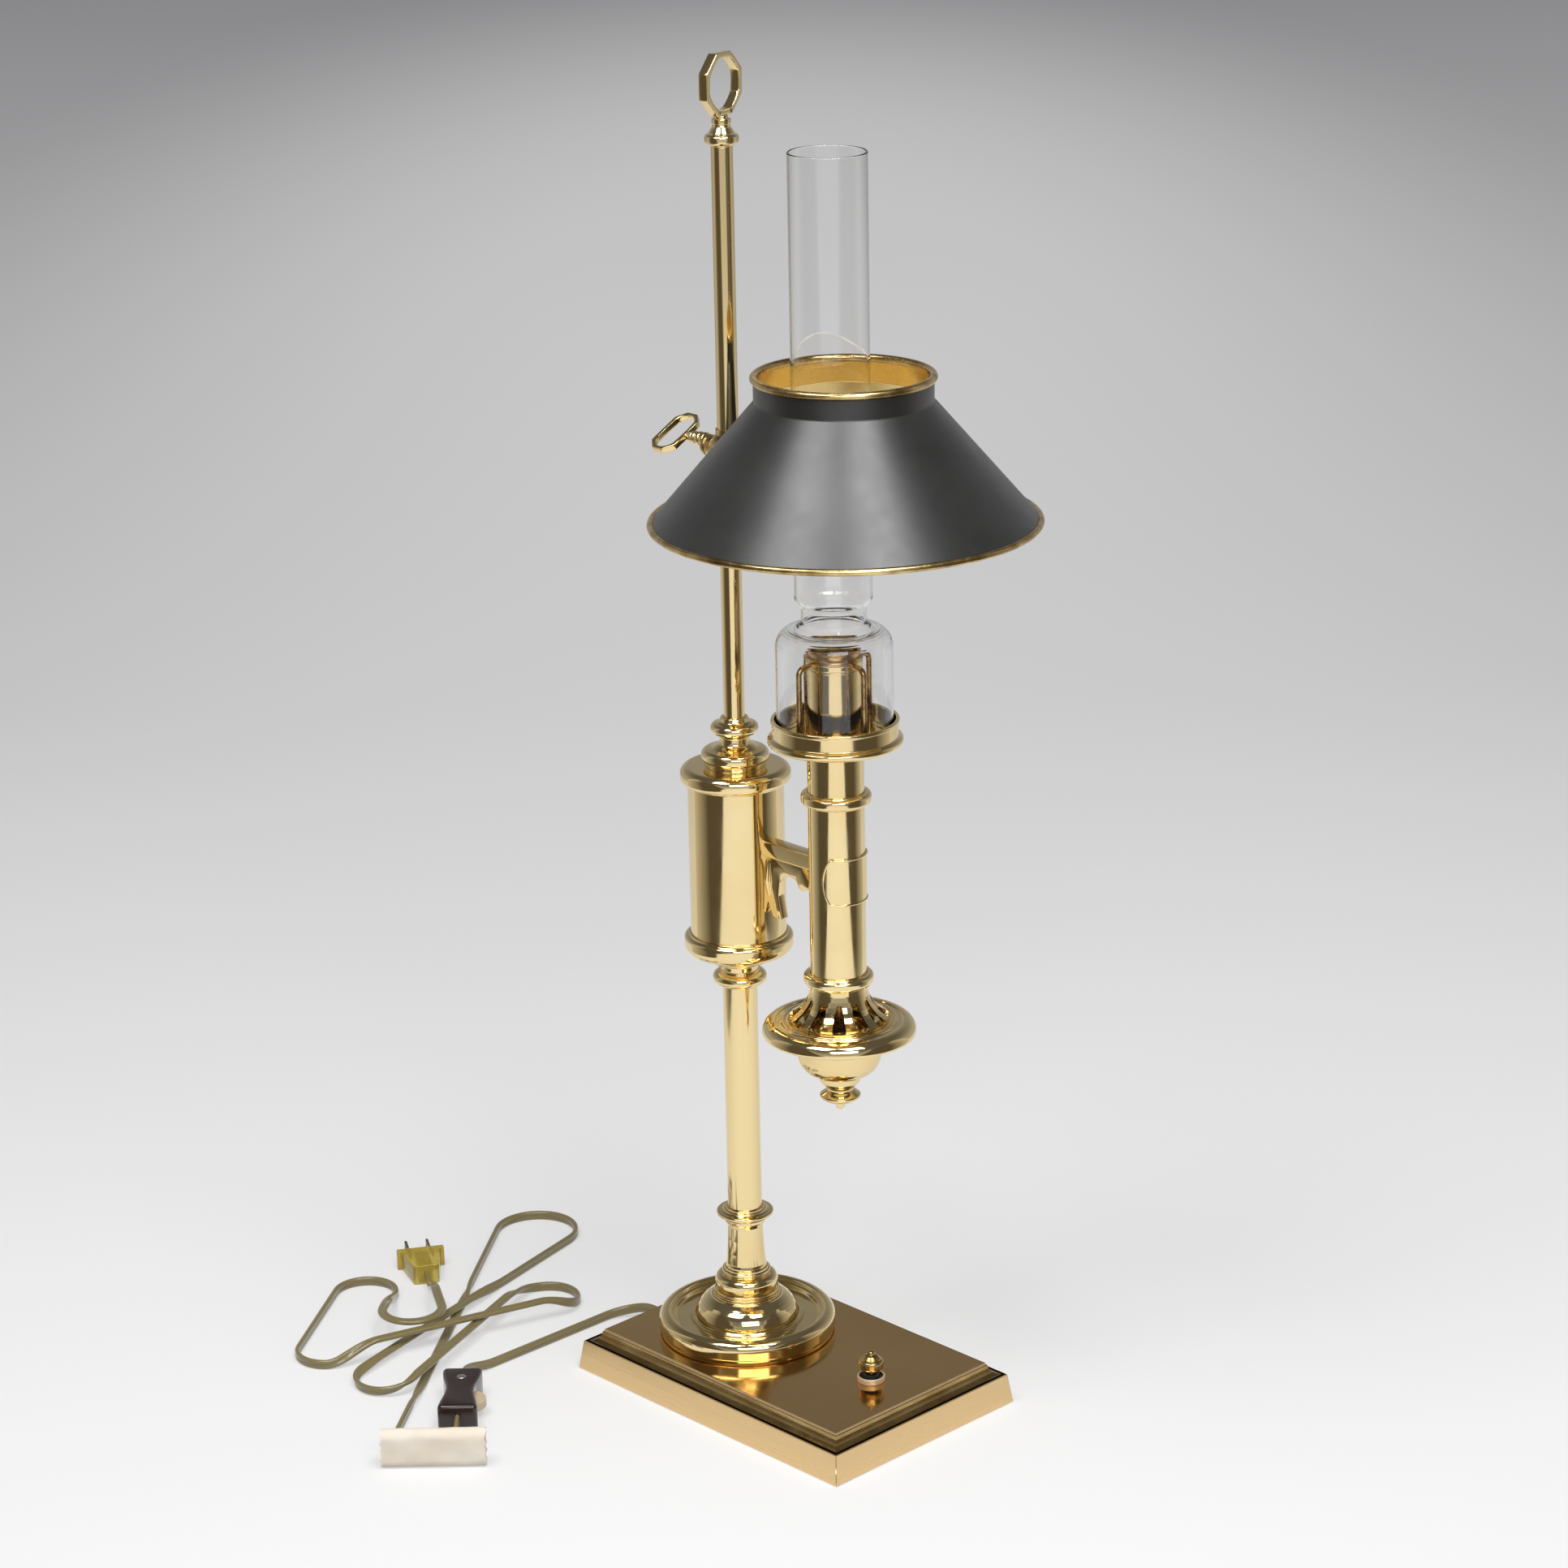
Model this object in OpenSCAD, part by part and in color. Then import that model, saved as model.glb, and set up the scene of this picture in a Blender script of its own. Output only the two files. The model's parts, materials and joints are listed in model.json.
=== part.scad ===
// Argand reading lamp in polished brass, wired for an electric bulb.
// The column and the burner stand in the plane y = 0. Heights run up from the underside of the base.

/* [Base] */
// Length of the base along its foot
base_l = 205; // [190:1:230]
// Width of the base along its foot
base_w = 138; // [126:1:160]
// Height of the base to its top plate
base_h = 24; // [22:0.5:30]
// Height of the flared side below the cove
base_side_h = 17; // [14:0.5:18]
// How far each side leans out to its foot
base_flare = 2.5; // [1:0.5:4]
// Ledge between the side and the cove
base_ledge = 1.2; // [0.8:0.2:2]
// Height of the lip above the cove
base_lip_h = 1.5; // [1:0.25:2.5]
// Setback of the top plate behind the cove
base_setback = 1.5; // [1:0.25:2]
// Thickness of the top plate
base_plate_t = 3; // [2:0.5:4]
// Thickness of the felt-faced bottom cover
cover_t = 3; // [2:0.5:4]
// How far the cover stands below the metal rim
cover_proud = 0.5; // [0.2:0.1:1]

/* [Column] */
// Distance of the column axis behind the middle of the base
column_offset = 36.5; // [30:0.5:42]
// Diameter of the foot ring
foot_d = 99; // [92:1:106]
// Height of the foot dish
foot_h = 23.5; // [22:0.5:27]
// Diameter of the dome on the foot
dome_d = 59; // [54:1:64]
// Height of the turned collar on the foot
foot_collar_h = 14.5; // [13:0.5:17]
// Diameter of the bead on the foot collar
foot_bead_d = 35; // [32:0.5:38]
// Height of the tapered column root
root_h = 25; // [20:1:32]
// Diameter of the tapered root at its lower end
root_d = 23; // [21:0.5:25]
// Height of the dished column ring
column_ring_h = 11; // [10:0.5:14]
// Diameter of the dished column ring
column_ring_d = 31.6; // [29:0.2:35]
// Diameter of the column tube
column_tube_d = 19; // [17:0.5:20]
// Height of the column tube
column_tube_h = 132; // [110:1:160]
// Wall of the column tube
tube_wall = 1.2; // [0.8:0.1:1.6]
// Diameter of the threaded lamp pipe
pipe_d = 9.5; // [9:0.1:10]
// Bore of the threaded lamp pipe
pipe_bore_d = 6.4; // [6:0.1:6.8]

/* [Reservoir] */
// Height of the collar under the reservoir
reservoir_collar_h = 9; // [8:0.5:11]
// Diameter of the bead on that collar
reservoir_collar_d = 29.6; // [27:0.2:32]
// Height of the stepped reservoir bottom
reservoir_base_h = 22; // [20:0.5:26]
// Diameter of the reservoir drum
reservoir_d = 52.2; // [48:0.2:56]
// Height of the reservoir drum
reservoir_h = 85; // [78:1:95]
// Wall of the reservoir drum
reservoir_wall = 1.2; // [0.8:0.1:2]
// How far the lid and bottom beads stand out from the drum
reservoir_bead_out = 3.6; // [2.5:0.1:4.5]
// Height of the lid
lid_h = 9.5; // [8.5:0.5:12]
// Height of the turning above the lid
turning_h = 27; // [25:0.5:31]
// Diameter of the lower bead of the turning
turning_bead_d = 36.6; // [33:0.2:40]

/* [Rod] */
// Diameter of the upper rod
rod_d = 11.4; // [10.4:0.1:12]
// Free length of the upper rod
rod_h = 305.5; // [270:0.5:330]
// Height of the finial on the rod
finial_h = 15.5; // [14:0.5:18]
// Diameter of the finial bead
finial_bead_d = 17.8; // [16:0.2:20]
// Width of the carrying ring
loop_d = 32; // [28:1:36]
// Radial thickness of the carrying ring
loop_t = 3.4; // [2.8:0.2:4]
// Depth of the carrying ring
loop_depth = 5.5; // [4:0.5:7]
// Turn of the carrying ring about the rod
loop_turn = 103; // [0:1:180]

/* [Shade] */
// Height of the collar ball above the reservoir turning
ball_above_turning = 148.5; // [140:0.5:160]
// Diameter of the collar ball
ball_d = 21; // [19.5:0.5:23]
// Distance of the rod inside the bottom wire
rod_inside_rim = 13.8; // [13.2:0.2:15]
// Diameter of the shade at its bottom wire
shade_d = 199.6; // [197:0.2:204]
// Diameter of the shade neck
neck_d = 91.2; // [89:0.2:94]
// Height of the shade cone
cone_h = 62.5; // [60:0.5:65]
// Height of the shade neck
neck_h = 10.5; // [9:0.5:13]
// Thickness of the shade metal
shade_t = 0.8; // [0.6:0.1:1.2]
// Diameter of the bottom wire
rim_wire_d = 3.6; // [3:0.1:4.4]
// Diameter of the rolled neck wire
neck_wire_d = 4.2; // [3.6:0.1:5]
// Length of the collar stem below the ball centre
stem_l = 21.5; // [20:0.5:23]
// Wall of the clamping bush on the rod
bush_wall = 0.8; // [0.6:0.1:1]
// Diameter of the thumb screw
screw_d = 4; // [3.4:0.2:4.6]
// Length of the thumb screw bow across its shank
bow_l = 30; // [26:0.5:34]
// Width of the thumb screw bow along its shank
bow_w = 18; // [16:0.5:20]

/* [Burner] */
// Distance between the column axis and the burner axis
axis_gap = 76.5; // [74:0.5:80]
// Height of the arm above the reservoir bottom
arm_above_bottom = 53.5; // [48:0.5:58]
// Height of the arm bar
arm_h = 8.6; // [8:0.2:10]
// Width of the arm bar
arm_w = 9; // [8:0.5:11]
// Diameter of the burner tube
burner_d = 30; // [28.6:0.2:32]
// Wall of the burner tube
burner_wall = 1; // [0.8:0.1:1.6]
// Burner tube above the arm
burner_above_arm = 69.5; // [64:0.5:76]
// Burner tube below the arm
burner_below_arm = 64.5; // [60:0.5:72]
// Diameter of the two rings on the burner tube
burner_ring_d = 37.4; // [35.4:0.2:40]
// Depth of the upper ring below the gallery
upper_ring_drop = 29.5; // [24:0.5:36]
// Height of the plaque
plaque_h = 26; // [22:1:30]
// Thickness of the plaque
plaque_t = 1; // [0.8:0.1:1.4]
// Outside diameter of the gallery wall
gallery_d = 66.4; // [64.8:0.2:70]
// Height of the gallery wall above its floor
gallery_wall_h = 10; // [8:0.5:13]
// Thickness of the gallery floor
gallery_floor_t = 3; // [2.5:0.25:4]
// Diameter of the socket sleeve
sleeve_d = 28.2; // [27:0.2:29.4]
// Height of the socket sleeve
sleeve_h = 49; // [46:0.5:53]
// Height of the cap on the sleeve
sleeve_cap_h = 11; // [9:0.5:13]
// Distance of the prong wires from the burner axis
prong_reach = 24; // [22.5:0.25:25]
// Diameter of the prong wires
prong_d = 2; // [1.6:0.1:2.4]
// Inside diameter of the bulb thread
bulb_thread_d = 12; // [11.6:0.1:12.4]

/* [Air vent] */
// Height of the flared vent
vent_h = 21; // [19:0.5:25]
// Diameter of the vent at its foot
vent_foot_d = 53; // [50:0.5:56]
// Number of air slots
vent_slots = 12; // [8:1:14]
// Diameter of the vent disc
disc_d = 82.6; // [78:0.2:88]
// Height of the rounded disc edge
disc_edge_t = 7.2; // [6.8:0.2:9]
// Diameter of the drip bowl
bowl_d = 45; // [42:0.5:48]
// Height of the drip bowl
bowl_h = 24; // [22:0.5:26]
// Height of the drip finial
drip_h = 20; // [18:0.5:23]

/* [Chimney] */
// Diameter of the chimney tube
chimney_d = 40.8; // [38:0.2:42]
// Diameter of the chimney bulge
bulge_d = 61.4; // [60:0.2:62]
// Wall of the glass
glass_t = 1.8; // [1.4:0.1:2.2]
// Height of the bulge up to its shoulder
bulge_h = 50; // [48:0.5:56]
// Outside diameter at the constriction
waist_d = 34.4; // [33.6:0.2:36]
// Height of the chimney
chimney_h = 306; // [280:1:320]

/* [Switches] */
// Distance of the dimmer knob behind the front end of the base
knob_inset = 41.7; // [37:0.1:46]
// Diameter of the dimmer knob
knob_d = 13.8; // [12.6:0.2:15]
// Height of the dimmer knob
knob_h = 13; // [12:0.5:15]
// Length of the cord switch
switch_l = 48; // [44:1:54]
// Width of the cord switch at its ends
switch_w = 22; // [20:0.5:24]
// Thickness of the cord switch
switch_t = 16; // [15:0.5:18]
// Diameter of the switch thumb wheel
wheel_d = 17; // [16:0.5:18]

/* [Cord] */
// Width of the flat twin cord
cord_w = 5.6; // [5.2:0.1:5.8]
// Thickness of the flat twin cord
cord_t = 2.8; // [2.6:0.1:2.9]
// Rise of each crossing over the one below it
cord_step = 3.5; // [3.4:0.1:4]
// Length of the plug body
plug_l = 27; // [25:0.5:30]
// Length of the plug blades
blade_l = 16.5; // [15.5:0.5:18]

/* [Fits] */
// Slip between pieces that are fitted together
seat = 0.05; // [0.02:0.01:0.1]
// Radial clearance of pieces that turn or slide
run_gap = 0.05; // [0.02:0.01:0.1]
// Gap between moving pieces that only rest on each other
rest_gap = 0.3; // [0.2:0.05:0.5]

/* [Hidden] */
$fn = 96;

brass = "goldenrod";
dark_brass = "darkgoldenrod";
steel = "silver";

// Axes
column_x = -column_offset;
burner_x = column_x + axis_gap;
shade_offset = shade_d / 2 - rod_inside_rim;
shade_x = column_x + shade_offset;
knob_x = base_l / 2 - knob_inset;

// Heights up the column
z_foot = base_h;
z_foot_collar = z_foot + foot_h;
z_root = z_foot_collar + foot_collar_h;
z_ring = z_root + root_h;
z_tube = z_ring + column_ring_h;
z_collar = z_tube + column_tube_h;
z_bottom = z_collar + reservoir_collar_h;
z_drum = z_bottom + reservoir_base_h;
z_lid = z_drum + reservoir_h;
z_turning = z_lid + lid_h;
z_rod = z_turning + turning_h;
z_finial = z_rod + rod_h;
z_loop = z_finial + finial_h;

// Radii shared along the column
pipe_r = pipe_d / 2;
pipe_hole_r = pipe_r + seat;
rod_r = rod_d / 2;
rod_hole_r = rod_r + seat;
nut_r = 7.2;
nut_h = 5.5;
washer_r = 11;
washer_t = 1.5;

// Heights of the burner
z_arm = z_drum + arm_above_bottom;
z_gallery = z_arm + burner_above_arm;
z_gallery_floor = z_gallery + gallery_floor_t;
z_vent_top = z_arm - burner_below_arm;
z_disc = z_vent_top - vent_h;
disc_r = 6.4;
disc_wall = 1.6;
disc_lip = 0.6;
z_bowl = z_disc - disc_edge_t + disc_lip;
z_drip = z_bowl - bowl_h;
burner_r = burner_d / 2;
burner_in_r = burner_r - burner_wall;
sleeve_r = sleeve_d / 2;
sleeve_wall = 0.7;
z_sleeve_top = z_gallery_floor + sleeve_h;
socket_r = 10.5;
z_socket = z_gallery_floor + 4.6;
z_socket_floor = z_socket + 7.5;
z_socket_top = z_sleeve_top - 8;
shell_lift = 2;
lead_r = 1.8;
lead_hole_r = 2.6;
lead_offset = 9.6;

// Shade and its carrier
z_ball = z_rod + ball_above_turning;
ball_r = ball_d / 2;
bush_r = rod_r + run_gap + bush_wall;
stem_bore_r = bush_r + run_gap;
stem_r = stem_bore_r + 2;
rim_r = shade_d / 2;
neck_r = neck_d / 2;
ball_sink = 10;
z_rim = z_ball - ball_sink - cone_h * (rim_r - shade_offset) / (rim_r - neck_r);
z_neck = z_rim + cone_h;
z_neck_rim = z_neck + neck_h + neck_wire_d / 2;
slope = atan2(cone_h, rim_r - neck_r);
boss_r = 5.8;
boss_reach = 16;

// Chimney
z_glass = z_gallery_floor + rest_gap;
bulge_r = bulge_d / 2;
chimney_r = chimney_d / 2;
waist_r = waist_d / 2;

// Turns a flat outline round a vertical axis
module turned(x) {
  translate([x, 0, 0]) rotate_extrude() children();
}

// A band from one radius to another between two heights
module band(r1, r2, z1, z2) {
  translate([r1, z1]) square([r2 - r1, z2 - z1]);
}

// A round bead whose outermost point lies at radius r
module bead(r, z, size) {
  translate([r - size, z]) circle(size);
}

// A straight taper of a turned outline
module taper(r_in, r1, z1, r2, z2) {
  polygon([[r_in, z1], [r1, z1], [r2, z2], [r_in, z2]]);
}

// Cross-section of the base moulding for a given half width
module base_outline(half) {
  cove_r = base_h - base_lip_h - base_side_h;
  cove_x = half - base_flare - base_ledge;
  top = cove_x - cove_r - base_setback;
  difference() {
    polygon([
      [-half, cover_proud], [half, cover_proud], [half - base_flare, base_side_h], [cove_x, base_side_h],
      [cove_x, base_h - base_lip_h], [top, base_h - base_lip_h], [top, base_h],
      [-top, base_h], [-top, base_h - base_lip_h], [-cove_x, base_h - base_lip_h],
      [-cove_x, base_side_h], [-half + base_flare, base_side_h]
    ]);
    for (side = [-1, 1]) {
      translate([side * cove_x, base_h - base_lip_h]) circle(cove_r);
    }
  }
}

base_hollow_inset = base_flare + base_ledge + (base_h - base_lip_h - base_side_h) + base_setback + 2;
cover_inset = 6;
bushing_z = 8;
bushing_r = 4.4;
bushing_x = -base_l / 2 + base_hollow_inset;
dimmer_bush_r = 4.75;

module base_shell() {
  color(brass) difference() {
    intersection() {
      rotate([90, 0, 0]) linear_extrude(base_w + 20, center = true) base_outline(base_l / 2);
      rotate([90, 0, 90]) linear_extrude(base_l + 20, center = true) base_outline(base_w / 2);
    }
    translate([-base_l / 2 + base_hollow_inset, -base_w / 2 + base_hollow_inset, 0])
      cube([base_l - 2 * base_hollow_inset, base_w - 2 * base_hollow_inset, base_h - base_plate_t]);
    translate([-base_l / 2 + cover_inset, -base_w / 2 + cover_inset, 0])
      cube([base_l - 2 * cover_inset, base_w - 2 * cover_inset, cover_t]);
    translate([column_x, 0, 0]) cylinder(r = pipe_hole_r, h = base_h + 1);
    translate([knob_x, 0, 0]) cylinder(r = dimmer_bush_r + seat, h = base_h + 1);
    translate([bushing_x + 1, 0, bushing_z]) rotate([0, -90, 0])
      cylinder(r = bushing_r + seat, h = base_l / 2);
  }
}

module base_cover() {
  inset = cover_inset + seat * 4;
  color("darkgreen") translate([-base_l / 2 + inset, -base_w / 2 + inset, 0])
    cube([base_l - 2 * inset, base_w - 2 * inset, cover_t]);
}

module foot_dish() {
  ring_r = 6;
  tray_z = z_foot + 7;
  tray_out = foot_d / 2 - 7.5;
  dome_r = dome_d / 2;
  dome_bend = foot_h - 8.5;
  color(brass) turned(column_x) difference() {
    union() {
      band(pipe_hole_r, foot_d / 2 - ring_r, z_foot, tray_z);
      band(tray_out, foot_d / 2 - ring_r, z_foot, z_foot + 2 * ring_r - 1);
      bead(foot_d / 2, z_foot + ring_r, ring_r);
      intersection() {
        bead(dome_r, tray_z, dome_bend);
        band(pipe_hole_r, dome_r, tray_z, z_foot_collar);
      }
      band(pipe_hole_r, dome_r - dome_bend, tray_z, z_foot_collar);
      band(pipe_hole_r, foot_bead_d / 2 + 2.5, tray_z, z_foot_collar - 2);
      band(pipe_hole_r, foot_bead_d / 2 + 1, tray_z, z_foot_collar);
    }
    band(pipe_hole_r + 4, tray_out, z_foot - 1, z_foot + 3);
  }
}

module foot_collar() {
  bead_r = 4;
  color(brass) turned(column_x) {
    band(pipe_hole_r, foot_bead_d / 2 + 0.6, z_foot_collar, z_foot_collar + 2);
    band(pipe_hole_r, foot_bead_d / 2 - bead_r, z_foot_collar, z_root - 2.4);
    bead(foot_bead_d / 2, z_foot_collar + 2.4 + bead_r, bead_r);
    band(pipe_hole_r, root_d / 2 + 2, z_root - 2.8, z_root - 1.2);
    band(pipe_hole_r, root_d / 2 + 0.8, z_root - 1.6, z_root);
  }
}

module column_root() {
  color(brass) turned(column_x) taper(pipe_hole_r, root_d / 2, z_root, column_tube_d / 2 + 0.2, z_ring);
}

module column_ring() {
  out = column_ring_d / 2;
  lip = z_tube - 2.2;
  color(brass) turned(column_x) {
    band(pipe_hole_r, column_tube_d / 2 + 0.6, z_ring, z_ring + 2.5);
    bead(column_tube_d / 2 + 1.8, z_ring + 3.2, 1.4);
    taper(pipe_hole_r, column_tube_d / 2 + 0.6, z_ring + 2, out - 0.6, lip - 1.4);
    bead(out, lip - 1, 1);
    band(pipe_hole_r, out - 1, lip - 1.4, lip);
    band(pipe_hole_r, column_tube_d / 2 + 2.4, lip - 0.4, z_tube - 1);
    band(pipe_hole_r, column_tube_d / 2 + 1, lip - 0.4, z_tube);
  }
}

module column_tube() {
  color(brass) turned(column_x)
    band(column_tube_d / 2 - tube_wall, column_tube_d / 2, z_tube, z_collar);
}

// Threaded pipe that ties the column together from the base to the reservoir bottom
module column_pipe() {
  bottom = base_h - base_plate_t - washer_t - nut_h - 3;
  top = z_drum + nut_h + 5;
  color(dark_brass) turned(column_x) band(pipe_bore_d / 2, pipe_r, bottom, top);
}

module base_washer() {
  color(steel) turned(column_x)
    band(pipe_hole_r, washer_r, base_h - base_plate_t - washer_t, base_h - base_plate_t);
}

// Hexagonal pipe nut
module pipe_nut(x, z) {
  translate([x, 0, z]) difference() {
    cylinder(r = nut_r, h = nut_h, $fn = 6);
    translate([0, 0, -1]) cylinder(r = pipe_hole_r, h = nut_h + 2);
  }
}

module base_nut() {
  color(steel) pipe_nut(column_x, base_h - base_plate_t - washer_t - nut_h);
}

module reservoir_collar() {
  size = 3.4;
  color(brass) turned(column_x) {
    band(pipe_hole_r, column_tube_d / 2 + 1.2, z_collar, z_bottom);
    bead(reservoir_collar_d / 2, z_collar + size + 0.8, size);
    band(pipe_hole_r, reservoir_collar_d / 2 - size, z_collar + 0.8, z_collar + 0.8 + 2 * size);
  }
}

module reservoir_bottom() {
  out = reservoir_d / 2 + reservoir_bead_out;
  size = 5.4;
  color(brass) turned(column_x) {
    band(pipe_hole_r, 10.2, z_bottom, z_bottom + 4);
    band(pipe_hole_r, 12, z_bottom + 3, z_bottom + 5);
    band(pipe_hole_r, 15.6, z_bottom + 4.4, z_bottom + 7.6);
    band(pipe_hole_r, 21.8, z_bottom + 7, z_drum - 4);
    bead(out, z_drum - 1 - size, size);
    band(pipe_hole_r, out - size, z_drum - 1 - 2 * size, z_drum - 1);
    band(pipe_hole_r, reservoir_d / 2 + 1.2, z_drum - 2, z_drum);
  }
}

module reservoir_nut() {
  color(steel) pipe_nut(column_x, z_drum);
}

module reservoir_drum() {
  color(brass) difference() {
    turned(column_x) band(reservoir_d / 2 - reservoir_wall, reservoir_d / 2, z_drum, z_lid);
    translate([column_x, 0, z_arm]) rotate([0, 90, 0]) cylinder(r = lead_hole_r, h = reservoir_d);
  }
}

module reservoir_lid() {
  out = reservoir_d / 2 + reservoir_bead_out + 0.3;
  size = lid_h / 2 - 0.2;
  color(brass) turned(column_x) {
    band(rod_hole_r, reservoir_d / 2 + 1, z_lid, z_lid + 1);
    bead(out, z_lid + 0.4 + size, size);
    band(rod_hole_r, out - size, z_lid + 0.4, z_turning);
    band(rod_hole_r, reservoir_d / 2 - reservoir_wall - seat, z_lid - 4, z_lid + 0.4);
  }
}

module reservoir_turning() {
  low = 3.3;
  high = 3;
  color(brass) turned(column_x) {
    band(rod_hole_r, turning_bead_d / 2 - 1.7, z_turning, z_turning + 3);
    bead(turning_bead_d / 2, z_turning + 2.8 + low, low);
    band(rod_hole_r, turning_bead_d / 2 - low, z_turning + 2.8, z_turning + 2.8 + 2 * low);
    taper(rod_hole_r, turning_bead_d / 2 - low - 3, z_turning + 9, rod_r + 2.3, z_rod - 12.5);
    band(rod_hole_r, rod_r + 2.3, z_rod - 13, z_rod - 8);
    bead(rod_r + 7.3, z_rod - 6.2, high);
    band(rod_hole_r, rod_r + 7.3 - high, z_rod - 6.2 - high, z_rod - 6.2 + high);
    taper(rod_hole_r, rod_r + 4, z_rod - 3.4, rod_r + 1.6, z_rod);
  }
}

rod_tail = lid_h + turning_h + 14;

module upper_rod() {
  color(brass) translate([column_x, 0, z_rod - rod_tail]) cylinder(r = rod_r, h = rod_tail + rod_h);
}

// Nut that draws the rod down on the lid
module rod_nut() {
  color(steel) translate([column_x, 0, z_lid - 4 - nut_h]) difference() {
    cylinder(r = rod_r + 3, h = nut_h, $fn = 6);
    translate([0, 0, -1]) cylinder(r = rod_hole_r, h = nut_h + 2);
  }
}

module top_finial() {
  size = 2.7;
  color(brass) turned(column_x) {
    band(0, finial_bead_d / 2 - 2.4, z_finial, z_finial + 1);
    bead(finial_bead_d / 2, z_finial + 0.6 + size, size);
    band(0, finial_bead_d / 2 - size, z_finial + 0.6, z_finial + 0.6 + 2 * size);
    taper(0, finial_bead_d / 2 - 1.8, z_finial + 6, 5, z_loop - 4);
    band(0, 5, z_loop - 4.2, z_loop - 1.4);
    band(0, 3.6, z_loop - 2, z_loop);
  }
}

// Eight-sided outline, drawn in by an inset
module eight_sided(width, height, inset) {
  x = width / 2 - inset;
  y = height / 2 - inset;
  c = min(width, height) * (1 - tan(22.5)) / 2 - inset * (2 - sqrt(2));
  polygon([
    [x, c - y], [x, y - c], [x - c, y], [c - x, y], [-x, y - c], [-x, c - y], [c - x, -y], [x - c, -y]
  ]);
}

// Eight-sided bow with a flat foot, standing in the plane of the two axes
module bow(width, height, thick, depth) {
  rotate([90, 0, 0]) linear_extrude(depth, center = true) difference() {
    eight_sided(width, height, 0);
    eight_sided(width, height, thick);
  }
}

module carrying_ring() {
  color(brass) translate([column_x, 0, z_loop + loop_d / 2]) rotate([0, 0, loop_turn])
    bow(loop_d, loop_d, loop_t, loop_depth);
}

module clamp_bush() {
  color(dark_brass) turned(column_x) {
    band(rod_r + run_gap, bush_r, z_ball - stem_l - rest_gap - 1.2, z_ball + ball_r - 1.6);
    band(rod_r + run_gap, stem_r, z_ball - stem_l - rest_gap - 1.2, z_ball - stem_l - rest_gap);
  }
}

module shade_collar() {
  color(brass) translate([column_x, 0, z_ball]) difference() {
    union() {
      sphere(ball_r);
      translate([0, 0, -stem_l]) cylinder(r = stem_r, h = stem_l);
      rotate([0, -90, 0]) cylinder(r = boss_r, h = boss_reach);
    }
    translate([0, 0, -stem_l - 1]) cylinder(r = stem_bore_r, h = stem_l + ball_r + 2);
    rotate([0, -90, 0]) cylinder(r = screw_d / 2 + run_gap, h = boss_reach + 1);
  }
}

module thumb_screw() {
  tip = bush_r + rest_gap;
  head = boss_reach + rest_gap;
  bow_x = head + 15 + bow_w / 2;
  bow_t = 2.6;
  bow_depth = 3.6;
  bow_turn = -62;
  color(brass) translate([column_x, 0, z_ball]) {
    rotate([0, -90, 0]) {
      translate([0, 0, tip]) cylinder(r = screw_d / 2, h = bow_x - bow_w / 2 + 1 - tip);
      rotate_extrude() {
        band(0, 4, head, head + 2.4);
        bead(3.8, head + 5, 1.6);
        band(0, 2.6, head + 2, head + 9);
        bead(3.4, head + 9, 1.5);
        taper(0, 2.4, head + 9, 3.2, head + 14.5);
      }
    }
    translate([-bow_x, 0, 0]) rotate([bow_turn, 0, 0]) bow(bow_w, bow_l, bow_t, bow_depth);
  }
}

// Cone wall, neck band and the hole for the collar
module shade_cone() {
  run = rim_wire_d / 2 + seat;
  edge_r = rim_r - run * cos(slope);
  edge_z = z_rim + run * sin(slope);
  dr = shade_t * sin(slope) / 2;
  dz = shade_t * cos(slope) / 2;
  color("dimgray") difference() {
    turned(shade_x) polygon([
      [edge_r + dr, edge_z + dz], [neck_r + shade_t / 2, z_neck + dz],
      [neck_r + shade_t / 2, z_neck + neck_h], [neck_r - shade_t / 2, z_neck + neck_h],
      [neck_r - shade_t / 2, z_neck - dz], [edge_r - dr, edge_z - dz]
    ]);
    translate([column_x, 0, z_ball]) sphere(ball_r + seat);
    translate([column_x, 0, z_ball - stem_l - 1]) cylinder(r = stem_r + seat, h = stem_l + 1);
  }
}

module shade_neck_rim() {
  color(brass) turned(shade_x) translate([neck_r, z_neck_rim]) circle(neck_wire_d / 2);
}

module shade_bottom_rim() {
  color(brass) turned(shade_x) translate([rim_r, z_rim]) circle(rim_wire_d / 2);
}

// Hollow bar between the reservoir and the burner tube
module feed_arm() {
  color(brass) difference() {
    translate([column_x, -arm_w / 2, z_arm - arm_h / 2]) cube([axis_gap, arm_w, arm_h]);
    translate([column_x, 0, z_arm - arm_h]) cylinder(r = reservoir_d / 2 + seat, h = 2 * arm_h);
    translate([burner_x, 0, z_arm - arm_h]) cylinder(r = burner_r + seat, h = 2 * arm_h);
    translate([column_x, 0, z_arm]) rotate([0, 90, 0]) cylinder(r = lead_hole_r, h = axis_gap);
  }
}

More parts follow.
